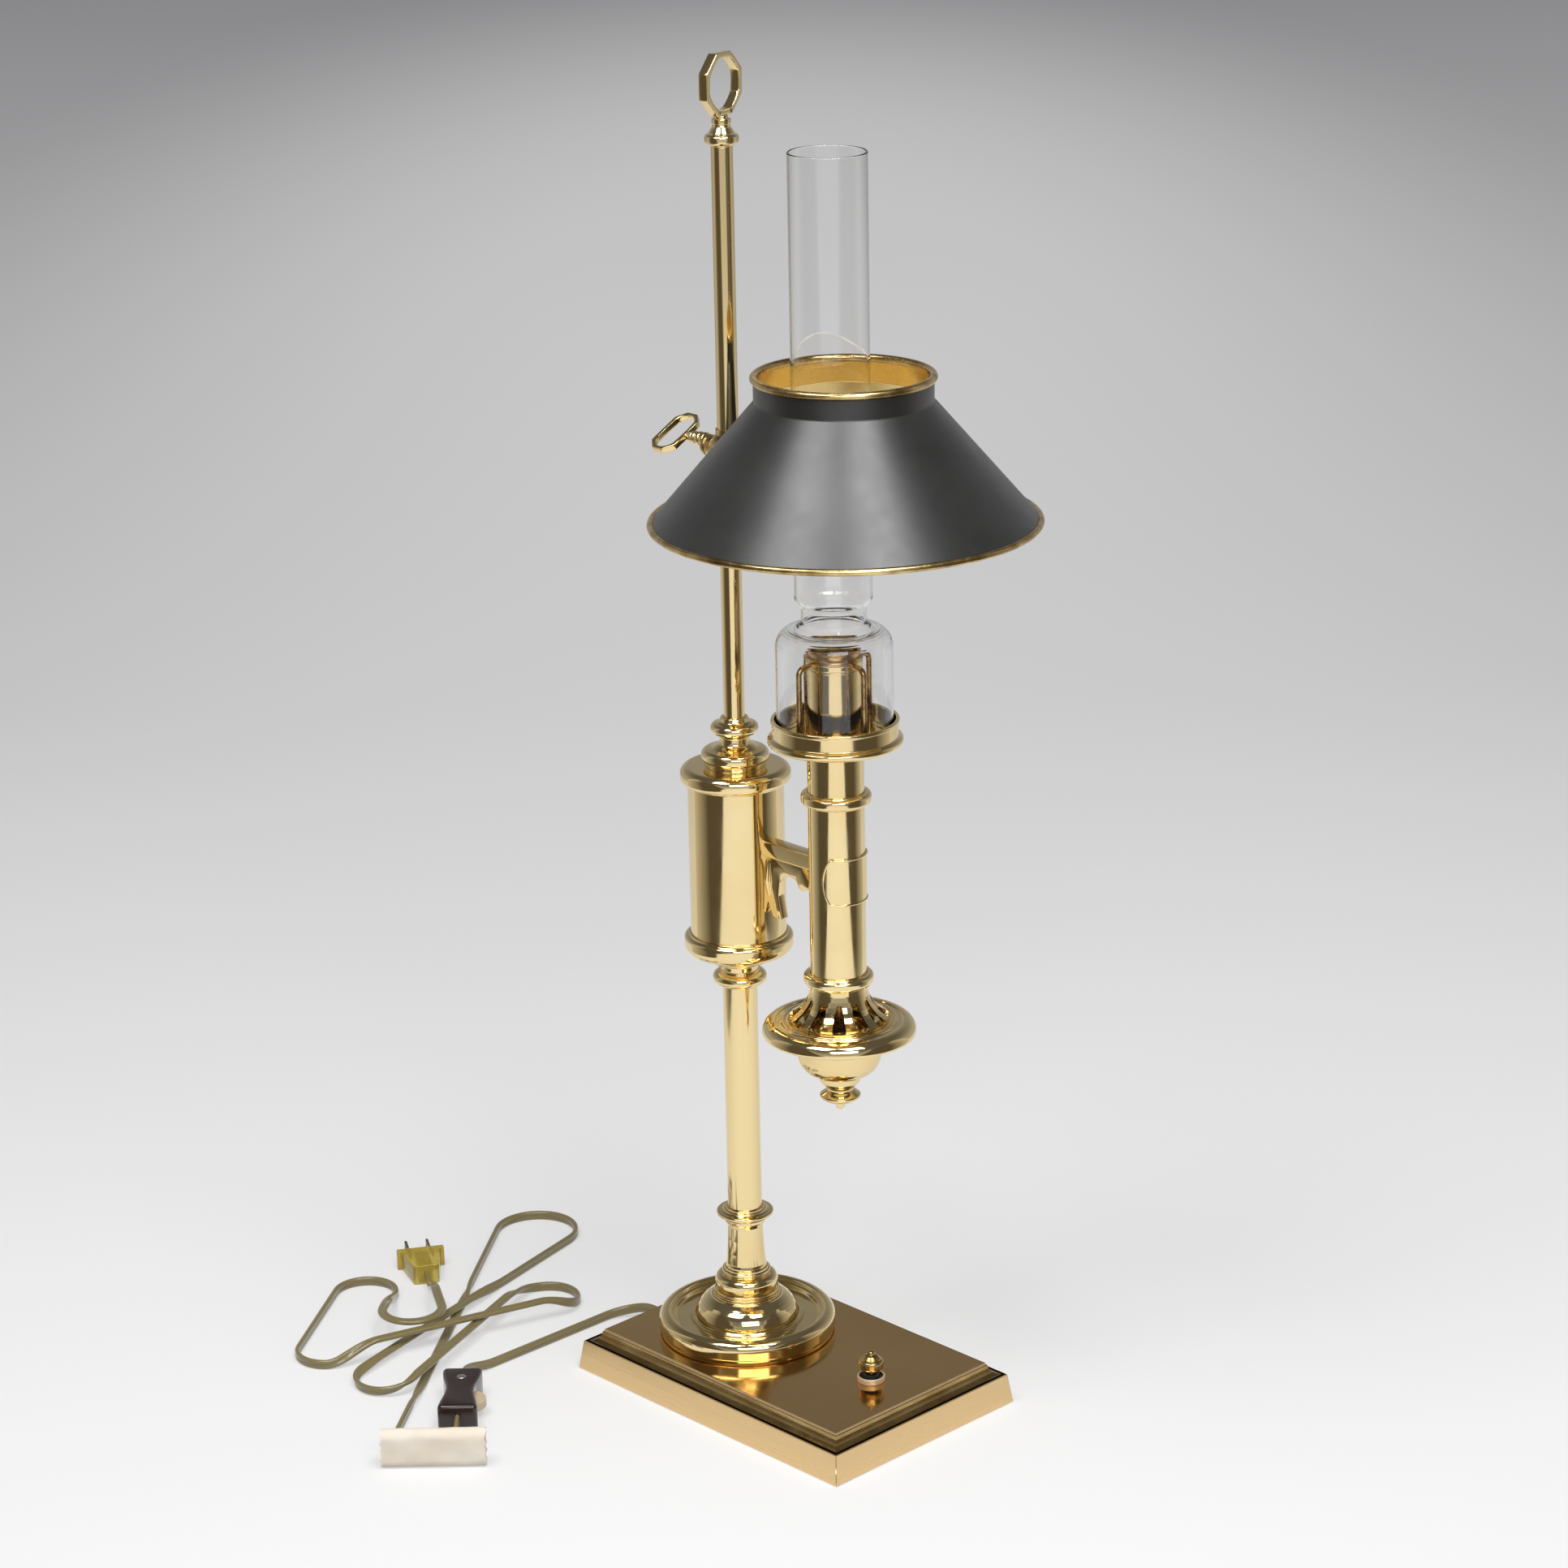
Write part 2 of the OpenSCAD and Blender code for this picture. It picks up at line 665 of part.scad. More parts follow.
// Scrolled leaf under the arm, cut from flat brass
module arm_scroll() {
  wall_x = column_x + reservoir_d / 2;
  top = z_arm - arm_h / 2;
  color(brass) difference() {
    union() {
      rotate([90, 0, 0]) linear_extrude(4, center = true) difference() {
        polygon([
          [wall_x - 2, top], [wall_x + 24, top], [wall_x + 24, top - 4.6], [wall_x + 15, top - 4.6],
          [wall_x + 15, top - 11.8], [wall_x + 8, top - 11.8], [wall_x + 4, top - 18],
          [wall_x + 4.6, top - 26], [wall_x + 6.6, top - 35], [wall_x + 1.5, top - 30], [wall_x - 2, top - 24]
        ]);
        translate([wall_x + 15, top - 11.8]) circle(7.4);
      }
      translate([wall_x + 24, 0, top - 6.4]) rotate([90, 0, 0]) cylinder(r = 5, h = 5, center = true);
    }
    translate([column_x, 0, top - 40]) cylinder(r = reservoir_d / 2 + seat, h = 60);
    translate([burner_x, 0, top - 40]) cylinder(r = burner_r + seat, h = 60);
  }
}

module burner_tube() {
  color(brass) difference() {
    turned(burner_x) band(burner_in_r, burner_r, z_vent_top, z_gallery);
    translate([column_x, 0, z_arm]) rotate([0, 90, 0]) cylinder(r = lead_hole_r, h = axis_gap);
  }
}

// Rounded ring that slips over the burner tube
module burner_ring(z, size) {
  turned(burner_x) difference() {
    union() {
      bead(burner_ring_d / 2, z, size);
      band(burner_r, burner_r + 1.6, z - size, z + size);
    }
    band(0, burner_r + seat, z - 2 * size, z + 2 * size);
  }
}

ring_size = 3.4;

module burner_ring_upper() {
  color(brass) burner_ring(z_gallery - upper_ring_drop, ring_size);
}

module burner_ring_lower() {
  color(brass) burner_ring(z_vent_top + ring_size + 0.2, ring_size);
}

// Curved plate round the front of the burner tube
module burner_plaque() {
  half_w = burner_r - 0.4;
  color(brass) intersection() {
    turned(burner_x) band(burner_r + seat, burner_r + seat + plaque_t, z_arm - 20, z_arm + 16);
    translate([burner_x, 0, z_arm - 3]) rotate([90, 0, 90]) linear_extrude(burner_d) intersection() {
      square([2 * half_w, plaque_h], center = true);
      circle(plaque_h * 0.62);
    }
  }
}

// Threaded pipe that ties the burner together from the drip finial to the socket
module burner_pipe() {
  color(dark_brass) turned(burner_x)
    band(pipe_bore_d / 2, pipe_r, z_drip - 6, z_socket + 5);
}

module gallery() {
  wall = 1.5;
  out = gallery_d / 2;
  color(brass) difference() {
    turned(burner_x) {
      band(pipe_hole_r, out - 0.6, z_gallery, z_gallery_floor);
      band(out - wall, out, z_gallery, z_gallery_floor + gallery_wall_h);
      bead(out + 2.4, z_gallery + 2.4, 2.4);
      bead(out + 0.5, z_gallery_floor + gallery_wall_h, 1);
    }
    translate([burner_x - lead_offset, 0, z_gallery - 1]) cylinder(r = lead_r + 0.4, h = gallery_floor_t + 2);
  }
}

module gallery_nut() {
  color(steel) translate([burner_x, 0, z_gallery_floor]) difference() {
    cylinder(r = nut_r, h = 4, $fn = 6);
    translate([0, 0, -1]) cylinder(r = pipe_hole_r, h = 6);
  }
}

module socket_sleeve() {
  color(brass) turned(burner_x)
    band(sleeve_r - sleeve_wall, sleeve_r, z_gallery_floor, z_sleeve_top - sleeve_cap_h + 6);
}

// Rolled cap over the top of the sleeve
module sleeve_cap() {
  low = z_sleeve_top - sleeve_cap_h;
  color("sienna") turned(burner_x) {
    band(sleeve_r + seat, sleeve_r + seat + 0.5, low, z_sleeve_top - 0.8);
    band(sleeve_r - 1.6, sleeve_r + seat + 0.5, low + 6 + seat, z_sleeve_top - 0.8);
    bead(sleeve_r + 0.9, z_sleeve_top - 1.2, 1.2);
  }
}

// Four bent wires that guide the glass
module chimney_prongs() {
  bend = 3.5;
  top = z_sleeve_top - sleeve_cap_h + 4.5;
  start = sleeve_r + seat * 2 + 0.5;
  color("peru") for (i = [0 : 3]) {
    translate([burner_x, 0, 0]) rotate([0, 0, 90 * i]) {
      translate([start, 0, top]) rotate([0, 90, 0]) cylinder(d = prong_d, h = prong_reach - bend - start);
      translate([prong_reach - bend, 0, top - bend]) rotate([90, 0, 0])
        rotate_extrude(angle = 90) translate([bend, 0]) circle(d = prong_d);
      translate([prong_reach, 0, z_gallery_floor]) cylinder(d = prong_d, h = top - bend - z_gallery_floor);
    }
  }
}

module lamp_socket() {
  cavity_r = bulb_thread_d / 2 + 1;
  color("ivory") turned(burner_x) {
    band(pipe_hole_r, socket_r, z_socket, z_socket_floor);
    band(cavity_r, socket_r, z_socket_floor, z_socket_top);
  }
}

module socket_shell() {
  cavity_r = bulb_thread_d / 2 + 1;
  color(brass) turned(burner_x)
    band(bulb_thread_d / 2, cavity_r - seat, z_socket_floor + shell_lift, z_socket_top - 0.5);
}

module socket_contact() {
  color(brass) translate([burner_x, 0, z_socket_floor]) {
    cylinder(r = bulb_thread_d / 2 - 1, h = 0.6);
    cylinder(r = 2, h = shell_lift - 0.6);
  }
}

// Trumpet-shaped vent with tapered slots
module air_vent() {
  shell = 1.4;
  flare = vent_h - 1;
  foot_r = vent_foot_d / 2;
  color(brass) difference() {
    turned(burner_x) difference() {
      band(0, foot_r, z_disc, z_vent_top);
      translate([burner_r + 0.2 + flare, z_vent_top]) circle(flare);
      difference() {
        band(0, foot_r - shell, z_disc - 1, z_vent_top + 1);
        translate([burner_r + 0.2 + flare, z_vent_top]) circle(flare + shell);
      }
    }
    for (i = [0 : vent_slots - 1]) {
      translate([burner_x, 0, z_disc]) rotate([90, 0, 90 + (i + 0.5) * 360 / vent_slots])
        linear_extrude(foot_r + 2)
          polygon([[-4, 1.6], [4, 1.6], [1.5, vent_h * 0.68], [-1.5, vent_h * 0.68]]);
    }
  }
}

// Spun disc with a rounded edge, open in the middle for the air
module vent_disc() {
  edge_x = disc_d / 2 - disc_r;
  zc = z_disc - disc_r + disc_lip;
  color(brass) turned(burner_x) {
    difference() {
      intersection() {
        bead(disc_d / 2, zc, disc_r);
        band(edge_x, disc_d / 2, z_bowl, zc + disc_r);
      }
      intersection() {
        bead(disc_d / 2 - disc_wall, zc, disc_r - disc_wall);
        band(0, disc_d / 2, z_bowl + disc_wall, zc + disc_r);
      }
    }
    band(bowl_d / 2 - 4, edge_x, z_disc - disc_wall, z_disc);
    band(bowl_d / 2 - 4, edge_x, z_bowl, z_bowl + disc_wall);
    bead(vent_foot_d / 2 + 4.4, z_disc, 0.9);
    band(edge_x - 2, edge_x, z_disc - disc_wall, zc + disc_r);
  }
}

// Bowl outline, drawn in by a given inset and open at the top
module bowl_outline(inset, top) {
  bend = 12;
  bend_z = z_drip + bend;
  band(0, bowl_d / 2 - inset, bend_z, top);
  band(0, bowl_d / 2 - bend, z_drip + inset, bend_z);
  intersection() {
    bead(bowl_d / 2 - inset, bend_z, bend - inset);
    band(0, bowl_d / 2 - inset, z_drip, bend_z);
  }
}

module drip_bowl() {
  color(brass) turned(burner_x) difference() {
    bowl_outline(0, z_bowl);
    bowl_outline(disc_wall, z_bowl + 1);
    band(0, pipe_hole_r, z_drip - 1, z_bowl);
  }
}

module drip_finial() {
  zc = z_drip;
  color(brass) turned(burner_x) difference() {
    union() {
      band(0, 10.9, zc - 3.6, zc);
      taper(0, 7.4, zc - 7.4, 10.4, zc - 3.6);
      band(0, 7, zc - 9, zc - 7);
      taper(0, 11, zc - 11.6, 7.4, zc - 9);
      taper(0, 6.6, zc - 15.6, 11, zc - 11.6);
      taper(0, 3, zc - 17.4, 6.6, zc - 15.6);
      band(0, 2.4, zc - drip_h, zc - 17);
    }
    band(0, pipe_hole_r, zc - 6.5, zc + 1);
  }
}

// Glass chimney: bulge, shoulder, waist and tube
module chimney_outline(inset) {
  z_shoulder = z_glass + bulge_h;
  z_waist = z_shoulder + 17;
  round_r = 9;
  band(0, bulge_r - inset, z_glass - 1, z_shoulder);
  bead(bulge_r - inset, z_shoulder, round_r - inset);
  band(0, bulge_r - round_r, z_shoulder - 1, z_shoulder + round_r - inset);
  taper(0, waist_r + 3.2 - inset, z_shoulder + round_r - inset - 0.5, waist_r - inset, z_waist - 3);
  band(0, waist_r - inset, z_waist - 4, z_waist + 5);
  bead(chimney_r - inset, z_waist + 8, 6.6);
  band(0, chimney_r - 6.6, z_waist + 3.4, z_waist + 12);
  band(0, chimney_r - inset, z_waist + 8, z_glass + chimney_h + 1);
}

module chimney() {
  color("lightcyan", 0.4) turned(burner_x) intersection() {
    difference() {
      chimney_outline(0);
      chimney_outline(glass_t);
    }
    band(0, bulge_r + 1, z_glass, z_glass + chimney_h);
  }
}

dimmer_half_l = 17;
dimmer_half_w = 13;
dimmer_t = 11;

module dimmer_body() {
  top = base_h - base_plate_t;
  color("dimgray") difference() {
    union() {
      translate([knob_x - dimmer_half_l, -dimmer_half_w, top - dimmer_t])
        cube([2 * dimmer_half_l, 2 * dimmer_half_w, dimmer_t]);
      translate([knob_x, 0, top - 1]) cylinder(r = dimmer_bush_r, h = base_plate_t + 5);
    }
    translate([knob_x, 0, top - 8]) cylinder(r = 3 + run_gap, h = base_plate_t + 14);
  }
}

module dimmer_nut() {
  color("wheat") turned(knob_x) {
    band(dimmer_bush_r + seat, 7.7, base_h, base_h + 2.2);
    band(dimmer_bush_r + seat, 6.4, base_h + 2.1, base_h + 3.2);
  }
}

module dimmer_knob() {
  z0 = base_h + 4.3;
  color(brass) turned(knob_x) {
    band(0, 3, base_h - base_plate_t - 6, z0 + 1);
    band(0, 5, z0, z0 + 2.2);
    bead(knob_d / 2, z0 + 5.2, 3.2);
    band(0, knob_d / 2 - 3.2, z0 + 2, z0 + 8.4);
    taper(0, knob_d / 2 - 2, z0 + 8, 2.2, z0 + knob_h - 1.5);
    intersection() {
      translate([0, z0 + knob_h - 1.8]) circle(1.8);
      band(0, 2, z0, z0 + knob_h);
    }
  }
}

// How the cord lies on the table
waist = [-166, -95];
waist_in = 52;
waist_out = 84;
top_level = 4;
switch_dir = -44;
switch_near = 56;
bend_r = 20;
cord_lift = 30;
bushing_out = 6.5;
exit_x = -base_l / 2 - bushing_out;
switch_mid = switch_t / 2;
plug_t = 12;

function unit(a) = [cos(a), sin(a)];

function wrap(a) = a - 360 * floor(a / 360);

function ease(t) = let (u = min(max(t, 0), 1)) u * u * (3 - 2 * u);

switch_a = waist + switch_near * unit(switch_dir);
switch_b = switch_a + switch_l * unit(switch_dir);
plug_tail = waist + 92 * unit(156);

// Bends of the cord as [angle about the waist, distance, radius, side]
hank_bends = [
  [125, 155, 24, -1], [270, 60, 18, 1], [100, 70, 18, -1],
  [230, 80, 18, -1], [180, 95, 18, -1], [195, 40, 17, 1]
];
front_r = 17;
front_straight = 14;

// Wheels that the cord runs round, each [centre, radius, side]
hank_wheels = concat(
  [[switch_b, 0, 1]],
  [[switch_b + front_straight * unit(switch_dir) + front_r * unit(switch_dir - 90), front_r, -1]],
  [for (b = hank_bends) [waist + b[1] * unit(b[0]), b[2], b[3]]],
  [[plug_tail, 0, 1]]
);
run_wheels = [
  [[exit_x, 0], 0, 1],
  [[exit_x - 8, -bend_r], bend_r, 1],
  [switch_a - 9 * unit(switch_dir) + bend_r * unit(switch_dir + 90), bend_r, 1],
  [switch_a, 0, 1]
];

// Heading of the straight strand between two wheels
function heading(a, b) =
  let (d = b[0] - a[0])
  atan2(d.y, d.x) - asin((b[2] * b[1] - a[2] * a[1]) / norm(d));

// Point where a strand with heading h touches a wheel
function touch(w, h) = w[0] + w[2] * w[1] * [sin(h), -cos(h)];

// Plan of a strand round its wheels, as [x, y, number of the straight it belongs to]
function belt(wheels, pitch) =
  let (
    last = len(wheels) - 2,
    h = [for (i = [0 : last]) heading(wheels[i], wheels[i + 1])]
  )
  [for (i = [0 : last])
    let (
      a = touch(wheels[i], h[i]),
      b = touch(wheels[i + 1], h[i]),
      n = max(2, ceil(norm(b - a) / pitch)),
      w = wheels[i + 1],
      sweep = i == last ? 0 : w[2] * wrap(w[2] * (h[i + 1] - h[i])),
      m = max(3, ceil(w[1] * abs(sweep) * PI / 180 / pitch))
    )
    each concat(
      [for (k = [0 : n - 1]) [each (a + (b - a) * k / n), i]],
      i == last ? [[each b, i]] :
        [for (k = [0 : m - 1]) [each touch(w, h[i] + sweep * k / m), i + ease(k / m)]]
    )
  ];

// Height added near an end that enters a fitting above the table
function rise(p, end, height) =
  (height - cord_w / 2) * (1 - ease((norm([p.x, p.y] - end) - cord_w) / cord_lift));

// Hank: on edge on the table, flat and stacked where the strands cross at the waist
function hank_path(pitch) =
  let (plan = belt(hank_wheels, pitch), last = len(hank_wheels) - 2)
  [for (p = plan)
    let (
      w = 1 - ease((norm([p.x, p.y] - waist) - waist_in) / (waist_out - waist_in)),
      level = min(max(0, p[2] - 1), top_level),
      first_lift = p[2] < 1 ? rise(p, switch_b, switch_mid) : 0,
      last_lift = p[2] == last ? rise(p, plug_tail, plug_t / 2) : 0
    )
    [p.x, p.y, cord_w / 2 * (1 - w) + (cord_t / 2 + level * cord_step) * w + first_lift + last_lift, 90 * w]
  ];

// Run from the base to the switch, on edge
function run_path(pitch) =
  [for (p = belt(run_wheels, pitch))
    [p.x, p.y, cord_w / 2 + rise(p, run_wheels[0][0], bushing_z) + rise(p, switch_a, switch_mid), 0]
  ];

function place(p) = [p[0], p[1], p[2]];

// Direction of the cord at point i of a path
function along(path, i) =
  let (d = place(path[min(i + 1, len(path) - 1)]) - place(path[max(i - 1, 0)]))
  d / norm(d);

// Direction across the wide side of the cord at point i of a path
function wide(path, i) =
  let (
    t = along(path, i),
    side = [t.y, -t.x, 0] / norm([t.x, t.y]),
    up = cross(side, t)
  )
  up * cos(path[i][3]) + side * sin(path[i][3]);

// Six-sided tube of the flat cord along a path
module cord_tube(path) {
  half = cord_w / 2;
  lobe = cord_t / 2;
  flat = half - lobe;
  section = [[half, 0], [flat, lobe], [-flat, lobe], [-half, 0], [-flat, -lobe], [flat, -lobe]];
  n = len(path);
  points = [for (i = [0 : n - 1])
    let (w = wide(path, i), t = cross(along(path, i), w))
    for (q = section) place(path[i]) + q.x * w + q.y * t
  ];
  walls = [for (i = [0 : n - 2]) for (k = [0 : 5])
    let (a = 6 * i + k, b = 6 * i + (k + 1) % 6)
    each [[a, a + 6, b], [b, a + 6, b + 6]]
  ];
  ends = [for (k = [1 : 4]) each [[0, k, k + 1], [6 * n - 6, 6 * n - 5 + k, 6 * n - 6 + k]]];
  polyhedron(points, concat(walls, ends));
}

// Least gap of a path to itself, measured between the centres of the two lobes
function least_gap(path, apart) =
  let (
    reach = (cord_w - cord_t) / 2,
    n = len(path),
    lobes = [for (i = [0 : n - 1]) let (w = wide(path, i) * reach) [place(path[i]) + w, place(path[i]) - w]]
  )
  min([for (i = [0 : n - 1 - apart]) for (j = [i + apart : n - 1])
    if (norm(path[i] - path[j]) < 90) for (a = lobes[i]) for (b = lobes[j]) norm(a - b)
  ]) - cord_t;

function path_length(path) =
  let (steps = [for (i = [1 : len(path) - 1]) norm(place(path[i]) - place(path[i - 1]))])
  steps * [for (s = steps) 1];

module cord_run() {
  color("olive") cord_tube(run_path(8));
}

module cord_hank() {
  fine = hank_path(2.5);
  echo(least_gap = least_gap(fine, 11), hank_length = path_length(fine));
  echo(run_length = path_length(run_path(2.5)));
  color("olive") cord_tube(hank_path(7));
}

// Bushing that leads the cord out of the end of the base
module cord_bushing() {
  tip = 4.5;
  sleeve = bushing_x + 2 - exit_x - tip;
  color("dimgray") translate([bushing_x + 2, 0, bushing_z]) rotate([0, -90, 0]) {
    cylinder(r = bushing_r, h = sleeve);
    translate([0, 0, sleeve]) cylinder(r1 = bushing_r, r2 = bushing_r - 1, h = tip);
  }
}

function dir(v) = v / norm(v);

// Section of a lead carried along a direction to the mitre at its next corner
function carry(ring, p, d, n) = [for (q = ring) q + d * (((p - q) * n) / (d * n))];

function mitred(points, i, ring) =
  i == len(points) ? [ring] :
  let (
    d = dir(points[i] - points[i - 1]),
    e = i == len(points) - 1 ? d : dir(points[i + 1] - points[i])
  )
  concat([ring], mitred(points, i + 1, carry(ring, points[i], d, d + e)));

// Eight-sided lead through a row of points that starts along the x axis
module lead(points) {
  sides = 8;
  forward = sign(points[1].x - points[0].x);
  first = [for (k = [0 : sides - 1])
    points[0] + lead_r * [0, cos(360 * k / sides), forward * sin(360 * k / sides)]
  ];
  rings = mitred(points, 1, first);
  n = len(rings);
  walls = [for (i = [0 : n - 2]) for (k = [0 : sides - 1])
    let (a = sides * i + k, b = sides * i + (k + 1) % sides)
    each [[a, a + sides, b], [b, a + sides, b + sides]]
  ];
  ends = [
    [for (k = [0 : sides - 1]) k],
    [for (k = [sides - 1 : -1 : 0]) sides * (n - 1) + k]
  ];
  polyhedron([for (r = rings) each r], concat(walls, ends));
}

// Supply leads: bushing to dimmer, and dimmer up the column and along the arm to the socket
module supply_lead() {
  face_x = knob_x - dimmer_half_l;
  entry_y = dimmer_half_w / 2;
  entry_z = base_h - base_plate_t - dimmer_t / 2 - lead_r;
  low_z = cover_t + 2 * lead_r;
  side = nut_r + washer_r / 2 + 2 * lead_r;
  start_x = bushing_x + 2;
  straight = 4 * lead_r;
  riser_x = burner_x - lead_offset;
  color("wheat") {
    lead([[start_x, 0, bushing_z], [start_x + straight, 0, bushing_z], [start_x + side, -side, bushing_z],
      [face_x - 2 * straight, -side, bushing_z], [face_x - straight, -entry_y, entry_z],
      [face_x, -entry_y, entry_z]]);
    lead([[face_x, entry_y, entry_z], [face_x - straight, entry_y, entry_z], [column_x + straight, 0, low_z],
      [column_x, 0, low_z], [column_x, 0, z_arm], [riser_x, 0, z_arm], [riser_x, 0, z_socket]]);
  }
}

// Cord switch, a waisted case in two halves with a thumb wheel at its side
switch_c = switch_a + switch_l / 2 * unit(switch_dir);
wheel_x = 3;
wheel_y = 6;
wheel_t = 5;
wheel_bore = 2;
screw_x = -12;
screw_r = 1.25;
screw_head_r = 2.6;

module at_switch() {
  translate([switch_c.x, switch_c.y, 0]) rotate([0, 0, switch_dir]) children();
}

module switch_outline() {
  hollow_r = 40;
  draw = 3;
  difference() {
    intersection() {
      square([switch_l, switch_w], center = true);
      circle(d = switch_l + 1.4);
    }
    for (side = [-1, 1]) {
      translate([0, side * (switch_w / 2 + hollow_r - draw)]) circle(hollow_r);
    }
  }
}

module wheel_space() {
  translate([wheel_x, wheel_y, switch_mid - wheel_t / 2 - rest_gap])
    cylinder(d = wheel_d + 2 * rest_gap, h = wheel_t + 2 * rest_gap);
}

module switch_lower() {
  color("maroon") at_switch() {
    difference() {
      linear_extrude(switch_mid) switch_outline();
      wheel_space();
      translate([screw_x, 0, 3]) cylinder(r = screw_r + seat, h = switch_t);
    }
    translate([wheel_x, wheel_y, switch_mid - wheel_t / 2 - rest_gap - 1])
      cylinder(r = wheel_bore, h = wheel_t + rest_gap + 1);
  }
}

module switch_upper() {
  color("maroon") at_switch() difference() {
    translate([0, 0, switch_mid]) linear_extrude(switch_t - switch_mid) switch_outline();
    wheel_space();
    translate([screw_x, 0, 0]) cylinder(r = screw_r + seat, h = switch_t + 1);
    translate([screw_x, 0, switch_t - 1]) cylinder(r = screw_head_r + seat, h = 2);
  }
}

module switch_wheel() {
  color("ivory") at_switch() translate([wheel_x, wheel_y, switch_mid - wheel_t / 2]) difference() {
    cylinder(d = wheel_d, h = wheel_t);
    translate([0, 0, -1]) cylinder(r = wheel_bore + run_gap, h = wheel_t + 2);
  }
}

module switch_screw() {
  color(steel) at_switch() translate([screw_x, 0, 0]) {
    translate([0, 0, 3.5]) cylinder(r = screw_r, h = switch_t - 4);
    translate([0, 0, switch_t - 1]) cylinder(r = screw_head_r, h = 1.4);
  }
}

// Two-pin plug lying flat
blade_t = 1.5;
blade_w = 6.35;
blade_gap = 12.7;
blade_in = 8;
plug_dir = heading(hank_wheels[len(hank_wheels) - 2], hank_wheels[len(hank_wheels) - 1]);

module at_plug() {
  translate([plug_tail.x, plug_tail.y, 0]) rotate([0, 0, plug_dir]) children();
}

module blades(slip) {
  for (side = [-1, 1]) {
    translate([plug_l - blade_in, side * blade_gap / 2 - blade_t / 2 - slip, plug_t / 2 - blade_w / 2 - slip])
      cube([blade_in + blade_l, blade_t + 2 * slip, blade_w + 2 * slip]);
  }
}

module plug_body() {
  flange_t = 4;
  color("darkkhaki") at_plug() difference() {
    linear_extrude(plug_t) polygon([
      [0, -7.5], [plug_l - flange_t, -11.5], [plug_l - flange_t, -14], [plug_l, -14],
      [plug_l, 14], [plug_l - flange_t, 14], [plug_l - flange_t, 11.5], [0, 7.5]
    ]);
    blades(seat);
  }
}

module plug_blades() {
  color("peru") at_plug() difference() {
    blades(0);
    translate([plug_l + blade_l - 4, blade_gap, plug_t / 2]) rotate([90, 0, 0])
      cylinder(d = 3, h = 2 * blade_gap);
  }
}

// Blank paper tag, rolled flat and standing on its edge against the cord
module paper_tag() {
  tag_l = 57;
  tag_h = 22;
  round_r = 5;
  paper = 0.6;
  reach = switch_near + switch_l + front_straight + front_r + cord_t / 2 + rest_gap + round_r;
  mid = waist + reach * unit(switch_dir) - 10 * unit(switch_dir + 90);
  color("ivory") translate([mid.x, mid.y, 0]) rotate([90, 0, switch_dir + 180])
    linear_extrude(tag_l, center = true) difference() {
      union() {
        translate([0, round_r]) circle(round_r);
        translate([0, tag_h - round_r]) circle(round_r);
        translate([-round_r, round_r]) square([2 * round_r, tag_h - 2 * round_r]);
      }
      translate([0, round_r]) circle(round_r - paper);
      translate([0, tag_h - round_r]) circle(round_r - paper);
      translate([paper - round_r, round_r]) square([2 * (round_r - paper), tag_h - 2 * round_r]);
    }
}

base_shell();
base_cover();
foot_dish();
foot_collar();
column_root();
column_ring();
column_tube();
column_pipe();
base_washer();
base_nut();
reservoir_collar();
reservoir_bottom();
reservoir_nut();
reservoir_drum();
reservoir_lid();
reservoir_turning();
rod_nut();
upper_rod();
top_finial();
carrying_ring();
clamp_bush();
shade_collar();
thumb_screw();
shade_cone();
shade_neck_rim();
shade_bottom_rim();
feed_arm();
arm_scroll();
burner_tube();
burner_ring_upper();
burner_ring_lower();
burner_plaque();
burner_pipe();
gallery();
gallery_nut();
socket_sleeve();
sleeve_cap();
chimney_prongs();
lamp_socket();
socket_shell();
socket_contact();
air_vent();
vent_disc();
drip_bowl();
drip_finial();
chimney();
dimmer_body();
dimmer_nut();
dimmer_knob();
cord_bushing();
supply_lead();
cord_run();
cord_hank();
switch_upper();
switch_lower();
switch_wheel();
switch_screw();
plug_body();
plug_blades();
paper_tag();
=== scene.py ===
import json
import math

import bmesh
import bpy
from bmesh.types import BMEdge, BMFace, BMVert
from mathutils import Matrix, Vector


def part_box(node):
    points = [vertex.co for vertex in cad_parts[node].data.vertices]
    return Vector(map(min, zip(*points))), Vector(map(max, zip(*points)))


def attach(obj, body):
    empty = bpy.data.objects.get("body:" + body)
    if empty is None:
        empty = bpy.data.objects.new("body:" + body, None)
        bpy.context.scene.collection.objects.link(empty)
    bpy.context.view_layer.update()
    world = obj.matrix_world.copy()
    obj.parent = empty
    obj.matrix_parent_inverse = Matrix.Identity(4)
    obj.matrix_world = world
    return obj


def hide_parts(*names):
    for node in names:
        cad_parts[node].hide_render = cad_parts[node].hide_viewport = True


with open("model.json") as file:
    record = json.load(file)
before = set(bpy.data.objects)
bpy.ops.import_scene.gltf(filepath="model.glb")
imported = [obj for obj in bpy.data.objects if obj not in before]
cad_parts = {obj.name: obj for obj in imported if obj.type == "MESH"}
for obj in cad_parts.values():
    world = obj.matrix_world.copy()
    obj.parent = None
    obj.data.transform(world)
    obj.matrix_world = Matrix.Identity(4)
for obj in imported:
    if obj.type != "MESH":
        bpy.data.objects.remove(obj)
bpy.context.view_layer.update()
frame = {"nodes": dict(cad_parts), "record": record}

bl_info = {
    "name": "Brass reading lamp",
    "version": (1, 0, 0),
    "blender": (4, 5, 0),
    "location": "3D View > Sidebar > Lamp",
    "description": "Dresses the frame of a brass reading lamp with its pieces, finishes, cord and stage",
    "category": "Object",
}

# All modelling is in millimetres, in the frame of the lamp, and becomes metres when a piece is made.
MM = 0.001
PIPE_HOLE = 4.8
ROD_HOLE = 5.75
